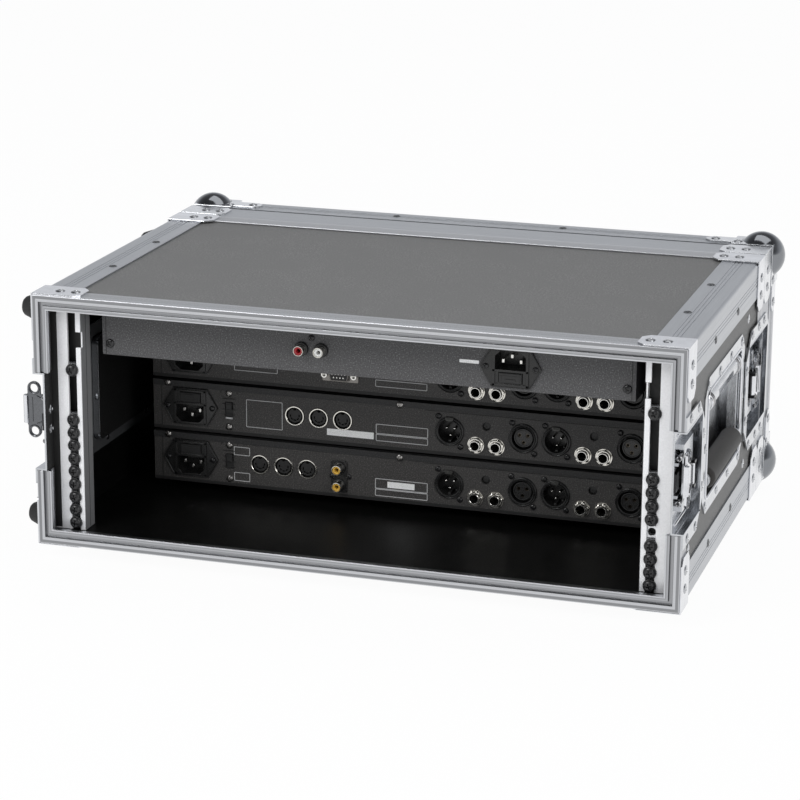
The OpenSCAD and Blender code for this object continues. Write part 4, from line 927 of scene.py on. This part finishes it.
def drawer_face(i, x, v, g):
    """Pull, ribs and groove on a fuse drawer's end."""
    bm = bmesh.new()
    for a, b, w, h, r, h0, h1 in ((0, 8, 17.2, 7.2, 0.8, 2.5, 3.1), (0, 9.6, 8.5, 2.0, 0.6, 3.0, 3.7),
                                  (-7.2, 8, 1.0, 4.6, 0.4, 3.0, 3.5), (7.2, 8, 1.0, 4.6, 0.4, 3.0, 3.5),
                                  (0, 6.2, 11, 0.7, 0.3, 3.0, 3.35)):
        add_prism(bm, round_rect(w, h, r), h0, h1, face(i, x + a, v + g * b), BACK, (0, 0, g))
    place("drawer_face_%d" % i, bm, BLACK_MATTE, FUSES[i], bevel=0.18)


inlet_screws = []
for i, x, v, g in INLETS:
    inlet_screws += inlet(i, x, v, g)
    if i in FUSES:
        drawer_face(i, x, v, g)
copies("inlet_screws", SMALL_SCREW, inlet_screws, SCREW_PANEL, size=0.95)

# ---- Chassis details: screws, seams, embossed marks ----
switch_x = -147.5
plates = [(i, -201, 19.0) for i in (2, 3)] + [(i, -0.5, 17.8) for i in short]
plates += [(i, switch_x, v) for i in (2, 3) for v in (13.8, -14.8)]
copies("chassis_screws", PANEL_SCREW, [seat(i, x, v, x + 2 * i, 0.9 if v > 15 else 0.0) for i, x, v in plates],
       SCREW_BRIGHT)
copies("top_unit_screws", PANEL_SCREW, [seat(0, s * 207.5, -11.8, s) for s in SIDES], SCREW_PANEL, size=1.2)
bm = bmesh.new()
for i in short:
    # Fold of the cover and the edge of the panel's recess
    for x0, x1, v in ((-206, -165, 16.9), (-140, 10, 16.9), (20, 206, 14.9)):
        face_box(bm, i, (x0, v, 0.28), (x1, v + 0.45, 0))
    face_box(bm, i, (-207, -20.2, 0.28), (-206.4, 17.3, 0))
    # Arc pressed round the screw beside the inlet, drawn dark as painted shade in the crease
    add_tube(bm, [face(i, x, v) for x, v in arc(switch_x, 13.8, 7.2, 0, 180, 16)], 0.3, 6)
place("panel_seams", bm, PAINT_LINE, bevel=0.08)


# ---- Thin printed frames, left blank ----
def frame_line(bm, i, x0, v0, x1, v1):
    """A line 0.55 mm wide round a rectangle from its top left to its bottom right."""
    w, h, t, r = x1 - x0, v0 - v1, 0.55, 0.8
    out, inn = round_rect(w, h, r, 4), round_rect(w - 2 * t, h - 2 * t, r - t, 4)
    rings = [[bm.verts.new(face(i, (x0 + x1) / 2 + a, (v0 + v1) / 2 + b, d)) for a, b in ring]
             for ring, d in ((out, 0.0), (out, 0.06), (inn, 0.06), (inn, 0.0))]
    for p, q in zip(rings, rings[1:]):
        bridge(bm, p, q)


lines, labels = bmesh.new(), bmesh.new()
for args in ((2, -132.5, 10.1, -101, -13.5), (3, -143.6, 13.2, -129.6, 5.9), (3, -143.7, -8.8, -129.7, -16.3),
             (2, -21, -0.2, 23, -8.5), (2, -21, -8.8, 23, -14.6), (3, -21.5, -1.9, 23, -10.6),
             (3, -21.5, -10.8, 23, -16.8), (1, -21.6, -7.6, 22, -13.5), (1, -142.6, 4, -105, -10.5)):
    frame_line(lines, *args)
place("printed_frames", lines, PRINT)
for i, x0, x1, v1, v0 in ((2, -62.7, -22.8, -13.6, -8.0), (3, -11, 12, -9, -3.9), (0, 77.6, 92.9, -2.4, 0.2)):
    at = face(i, (x0 + x1) / 2, (v0 + v1) / 2)
    add_prism(labels, round_rect(x1 - x0, v0 - v1, 0.4, 3), 0, 0.12, at, BACK)
place("blank_labels", labels, STICKER)

# Voltage sliders: ridges, and a white index on unit C
for i, name in ((2, "unit_c_voltage_switch"), (3, "unit_d_voltage_switch")):
    lo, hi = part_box(name)
    (x0, y, z0), (x1, _, z1) = ([1000 * a + b for a, b in zip(p, (-X0, mid_y, -foot_h))] for p in (lo, hi))
    bm = bmesh.new()
    for k in range(4):
        z = z0 + (z1 - z0) * (k + 0.6) / 4.4
        add_box(bm, (x0 + 0.5, y - 0.35, z - 0.22), (x1 - 0.5, y + 0.2, z + 0.22))
    place("slider_ridges_%d" % i, bm, BLACK_MATTE, name, bevel=0.1)
bm = bmesh.new()
face_box(bm, 2, (-150.4, -8.0, 0.1), (-144.6, -6.6, 0))
place("slider_index", bm, PRINT)


# ---- Latches ----
def latch_frame(s, end):
    """Place in a latch: u inwards from the joint, v up, w out of the ply."""
    return lambda u, v, w: (s * (ply_x + w), body_d - u if end else u, latch_z + v)


springs, collars, ribs = bmesh.new(), bmesh.new(), bmesh.new()
ring = [(12.9, -1.75), (15.4, -1.75), (15.3, -1.3), (14.6, -0.9), (13.4, -0.95), (12.9, -1.3), (12.9, -1.75)]
mouth = [(0.8, -39.4), (60, -39.4), (61.4, -38), (61.4, 38), (60, 39.4), (0.8, 39.4)]
for s, end in product(SIDES, ENDS):
    q = latch_frame(s, end)
    for v in (-17.5, 17.5):
        wire = coil(q(5.5, v, tray_floor + 2.3), BACK if end else FORE, 1.7, 1.15, 15, 12)
        add_tube(springs, wire, 0.42, 6)
        add_tube(springs, [q(u, v, tray_floor + 2.3) for u in (3, 24)], 0.5, 8)
    add_lathe(collars, ring, q(latch_u, 0, 0), (s, 0, 0), 40)
    # Raised edges of the tray's floor, and the rolled lip round its mouth
    for v in (-34.5, 34.5):
        add_tube(ribs, [q(u, v, tray_floor + 0.1) for u in (8, 54)], 1.0, 8)
    add_tube(ribs, [q(u, v, 2.6) for u, v in mouth], 0.55, 8)
place("latch_springs", springs, SPRING)
place("latch_collars", collars, LATCH_DARK)
place("latch_ribs", ribs, CHROME)

# Rolled edge of each wing and the raised lines on it
for pre, s, end in (("rear_left", -1, 0), ("rear_right", 1, 0), ("front_left", -1, 1), ("front_right", 1, 1)):
    q = latch_frame(s, end)

    def w(u, v, h):
        """Place on the wing: u from its pin, h off its face. The rear left one is open."""
        return q(latch_u - h, v, pin_out + u) if pre == "rear_left" else q(latch_u - u, v, pin_out + h)
    bm = bmesh.new()
    add_tube(bm, [w(wing_l - 2.2, v, 0.5) for v in (-11.4, 11.4)], 2.15, 16)
    place(pre + "_wing_roll", bm, CHROME, pre + "_wing")
    bm = bmesh.new()
    for k in SIDES:
        lobe = [polar(4.5, 360 * t / 28, wing_lobe_u, k * wing_lobe_v) for t in range(28)]
        add_tube(bm, [w(*p, 1.0) for p in lobe], 0.75, 8, True)
        add_tube(bm, [w(1.5, k * 6.6, 1.2), w(12.5, k * 11.5, 1.2)], 0.6, 8)
    add_tube(bm, [w(3.4, v, 1.1) for v in (-7, 7)], 0.7, 8)
    add_tube(bm, [w(16.5, v, 1.0) for v in (-10, 10)], 0.6, 8)
    # The raised lines take the same dark colour, as painted shade along them
    place(pre + "_wing_ribs", bm, WING_SHADE, pre + "_wing")

# ---- Handles: spring curls, barrel caps, embossed rim, painted shade on the trays' backs and rivets behind ----
hinge_x, hinge_z = ply_x - 4.5, handle_z + tray_h / 2 - 11
cap = [(6.55, 0), (7.5, 0), (7.7, 0.6), (7.6, 2.2), (7.0, 2.8), (6.55, 2.8), (6.55, 0)]
dome = [(2.6, 0), (2.5, 0.5), (1.7, 1.1), (0.8, 1.35), (0, 1.4)]
rims, tray_back_shades, heads = bmesh.new(), bmesh.new(), bmesh.new()
for s, body in ((-1, "left_handle"), (1, "right_handle")):
    curls, caps = bmesh.new(), bmesh.new()
    for e in SIDES:
        add_tube(curls, coil((s * hinge_x, handle_y + e * 50.5, hinge_z), (0, e, 0), 7.0, 2.1, 3.0, 18), 0.95, 8)
        add_lathe(caps, cap, (s * hinge_x, handle_y + e * 57.4, hinge_z), (0, e, 0), 32)
        for a, b in [(y, e * 48.2) for y in (-74.5, -41.5, 41.5, 74.5)] + [(e * 75.5, -8)]:
            add_lathe(heads, dome, (s * (wall_x - 1.5), handle_y + a, handle_z + b), (-s, 0, 0), 14)
    place(body + "_springs", curls, SPRING, body)
    place(body + "_collars", caps, CHROME, body)
    add_tube(rims, [(s * (ply_x + plate_t + 0.1), handle_y + a, handle_z + b)
                    for a, b in round_rect(tray_l + 0.6, tray_h + 0.6, 6.3, 6)], 0.8, 8, True)
    # Painted shade: a black sheet on the inside of each handle tray
    add_prism(tray_back_shades, round_rect(tray_l - 0.4, tray_h - 0.4, 5.8, 6), -0.05, 0.35,
              (s * (ply_x - handle_depth), handle_y, handle_z), (-s, 0, 0))
place("handle_rims", rims, CHROME)
place("handle_tray_back_shades", tray_back_shades, SHADE_BLACK)
place("backplate_rivets", heads, RIVET)

# ---- Painted shade: black sheets behind the rails' slots and over the latch trays ----
shade_sheets, rail_edge_shades, slot_back_shades, folds = (bmesh.new() for _ in range(4))
full = (10.0, case_h - 10.0)
for s in SIDES:
    for ys in ((rail_set + 2.7, rail_set + 46), (front_rail_y - 46, front_rail_y - 2.7)):
        side_box(shade_sheets, s, (wall_x - 1.8, wall_x - 1.5), ys, full)
    # The second of each pair is cut short at the hook
    for ys, cut in (((1.4, rail_set - 0.1), (1.4, rail_set - 7.4)),
                    ((front_rail_y + 3.2, body_d - 1.4), (front_rail_y + 8.2, body_d - 1.4))):
        for z0, z1, y in ((-40.0, -10.6, ys), (10.6, 40.0, ys), (-5.6, 5.6, ys), (-10.6, -5.6, cut), (5.6, 10.6, cut)):
            side_box(shade_sheets, s, (wall_x - 0.35, wall_x), y, (latch_z + z0, latch_z + z1))
    wide = 5.2 if s < 0 else 1.6
    # Painted shade on each rail's face next to the wall
    side_box(rail_edge_shades, s, (wall_x - wide, wall_x), (rail_set - 0.5, rail_set), (10.2, case_h - 10.2))
    # Painted shade behind each rail's slot
    side_box(slot_back_shades, s, (slot_x - 8.2, wall_x - 1.6), (rail_set + 9.1, rail_set + 9.4), full)
    # Folded edge of the deep unit's panel at each end
    side_box(folds, s, (210.6, 211.2), (long_back - 0.07, long_back + 0.05),
             (unit_mid(0) - 20.425, unit_mid(0) + 18.375))
place("painted_shade_sheets", shade_sheets, SHADE_BLACK)
place("rail_edge_painted_shade", rail_edge_shades, SHADE_BLACK)
place("rail_slot_painted_shade", slot_back_shades, SHADE_BLACK)
place("unit_a_fold_lines", folds, PAINT_LINE)

# Painted shadow along the bottom of each short unit's panel, and the pressed arcs over the voltage switches drawn dark
# as painted shade
gap_shadows, arcs = bmesh.new(), bmesh.new()
for i in short:
    face_box(gap_shadows, i, (-213.9, -21.0, 0.06), (213.9, -18.3, -0.02))
for i in (2, 3):
    # Painted shade: the pressed arcs are drawn as black lines
    turns = [math.radians(20 + 10 * k) for k in range(15)]
    add_tube(arcs, [face(i, -147.2 + 7.4 * math.cos(t), 13.6 + 5.6 * math.sin(t), 0.1) for t in turns], 0.28, 6)
place("panel_painted_gap_shadows", gap_shadows, SHADE_BLACK)
place("switch_arcs", arcs, BLACK)


# ---- Front panels, seen with the lid off ----
def front(i, x, v, out=0.0):
    """A place on the front of unit i, outwards by out."""
    return (x, front_rail_y + ear_t + out, unit_mid(i) + v)


window_x, knob_x, key_x, key_pitch = -20, 150, 48, 14.5
glass, marks, keys, lamps = (bmesh.new() for _ in range(4))
for i in range(4):
    # Window glass over a row of dim segments, each a pair of bars
    add_prism(glass, round_rect(99.4, 17.4, 0.8, 3), 0, 0.6, front(i, window_x, 0, -0.9), FORE)
    for k in range(14):
        for v in (-3.1, 3.1):
            add_prism(marks, round_rect(3.6, 4.6, 0.4, 2), 0, 0.1, front(i, -62 + 6.4 * k, v, -0.3), FORE)
    # A line under the window and a ring of scale ticks round each knob
    add_prism(marks, rect(-50, -0.2, 50, 0.2), 0, 0.08, front(i, window_x, -13.4), FORE)
    for t in range(-5, 6) if i else ():
        x, v = math.sin(math.radians(27 * t)), math.cos(math.radians(27 * t))
        add_tube(marks, [front(i, knob_x + x * r, v * r, 0.05) for r in (14.8, 17.6)], 0.25, 6)
    for k in range(6 if i else 3):
        add_prism(keys, round_rect(11, 6.4, 1.4, 4), 0, 1.9, front(i, key_x + key_pitch * k, -5), FORE)
        add_lathe(lamps, [(1.4, 0), (1.35, 0.5), (0.8, 0.95), (0, 1.1)],
                  front(i, key_x + key_pitch * k, 5.5), FORE, 16)
    for k in range(8):
        add_lathe(lamps, [(1.2, 0), (1.15, 0.45), (0.7, 0.8), (0, 0.9)], front(i, -150 + 8.5 * k, 4.5), FORE, 14)
place("window_glass", glass, BLACK, bevel=0.2)
place("panel_marks", marks, PRINT)
place("panel_keys", keys, BLACK_MATTE, bevel=0.5)
place("panel_lamps", lamps, LAMP)

# Knurled skirts and pointers on the knobs
for i, body in ((1, "unit_b_knob"), (2, "unit_c_knob"), (3, "unit_d_knob")):
    knurl, pointer = bmesh.new(), bmesh.new()
    for k in range(40):
        x, v = 12.0 * math.sin(2 * math.pi * k / 40), 12.0 * math.cos(2 * math.pi * k / 40)
        add_tube(knurl, [front(i, knob_x + x, v, out) for out in (3.6, 15.0)], 0.42, 5)
    add_prism(pointer, rect(-0.7, 3.0, 0.7, 11.0), 0, 0.2, front(i, knob_x, 0, 15.95), FORE)
    place(body + "_knurl", knurl, KNOB, body)
    place(body + "_pointer", pointer, STICKER, body)

# ---- Camera ----
scene.view_settings.view_transform = "Standard"
cam_data = bpy.data.cameras.new("view")
cam = add_object("view", cam_data)
scene.camera = cam
eye = Vector((0.63245, -2.0803, 0.7313))
ahead = Vector((-0.28382, 0.91757, -0.27839)).normalized()
right = ahead.cross(Vector((-0.08787, 0.26422, 0.96045))).normalized()
up = right.cross(ahead)
cam.matrix_world = Matrix.Translation(eye) @ Matrix((right, up, -ahead)).transposed().to_4x4()
cam_data.lens = 123.53
cam_data.sensor_width = 36.0
cam_data.clip_end = 50.0


# ---- Floor, backdrop and light ----
def backdrop():
    """White to the camera, and a matt floor to the lamps so that it keeps the shadow."""
    m = Mat("studio_white")
    white = m.new("ShaderNodeEmission")
    white.inputs["Color"].default_value = (1, 1, 1, 1)
    m.show(m.times(m.seen(), 0.96), m.b.outputs[0], white.outputs[0], "Material Output")
    return m.done(m.ramp(m.noise(0.01, 2.0, 0.5), [(0.3, 0.80), (0.7, 0.83)]), 0.9)


bm = bmesh.new()
bmesh.ops.create_grid(bm, x_segments=1, y_segments=1, size=6.0)
floor = loose("floor", bm)
floor.data.materials.append(backdrop())

# A white horizon that darkens overhead, as a studio does above its backdrop
world = bpy.data.worlds.new("studio")
scene.world = world
world.use_nodes = True
w = Nodes(world.node_tree)
bg = w.t.nodes["Background"]
bg.inputs["Color"].default_value = (0.93, 0.96, 1.0, 1)
bg.inputs["Strength"].default_value = 0.55
sky = w.new("ShaderNodeBackground")
way = w.split("Generated")
height = w.math("MULTIPLY_ADD", way[2], 0.5, 0.5)


def dome(stops):
    """Brightness at heights from -1 to 1, slightly blue where it isn't white."""
    return w.ramp(height, [((p + 1) / 2, v if v == 1.0 else (v, v * 1.02, v * 1.06)) for p, v in stops])


behind = dome([(0, 1.0), (0.05, 1.0), (0.16, 0.78), (0.36, 0.62), (0.62, 0.22), (1.0, 0.10)])
before = dome([(0, 1.0), (0.05, 1.0), (0.14, 0.30), (0.32, 0.07), (0.6, 0.05), (1.0, 0.10)])
w.put(w.mix(w.values(way[1], 0.0, 1.0, -0.15, 0.55), before, behind), sky.inputs["Color"])
w.show(w.seen(), bg.outputs[0], sky.outputs[0], "World Output")


def lamp(name, at, target, power, wide, high):
    d = bpy.data.lights.new(name, "AREA")
    d.shape = "RECTANGLE"
    d.size, d.size_y = wide, high
    d.energy = power
    o = add_object(name, d)
    o.location = at
    o.rotation_euler = (Vector(target) - Vector(at)).to_track_quat("-Z", "Y").to_euler()


lamp("key", (-1.3, -2.2, 2.0), (0, 0, 0.1), 42, 1.6, 1.2)
lamp("fill", (2.0, -1.6, 1.1), (0.1, 0, 0.1), 22, 1.2, 1.6)
lamp("top", (0.2, 0.6, 2.6), (0, 0, 0.1), 16, 2.4, 1.6)
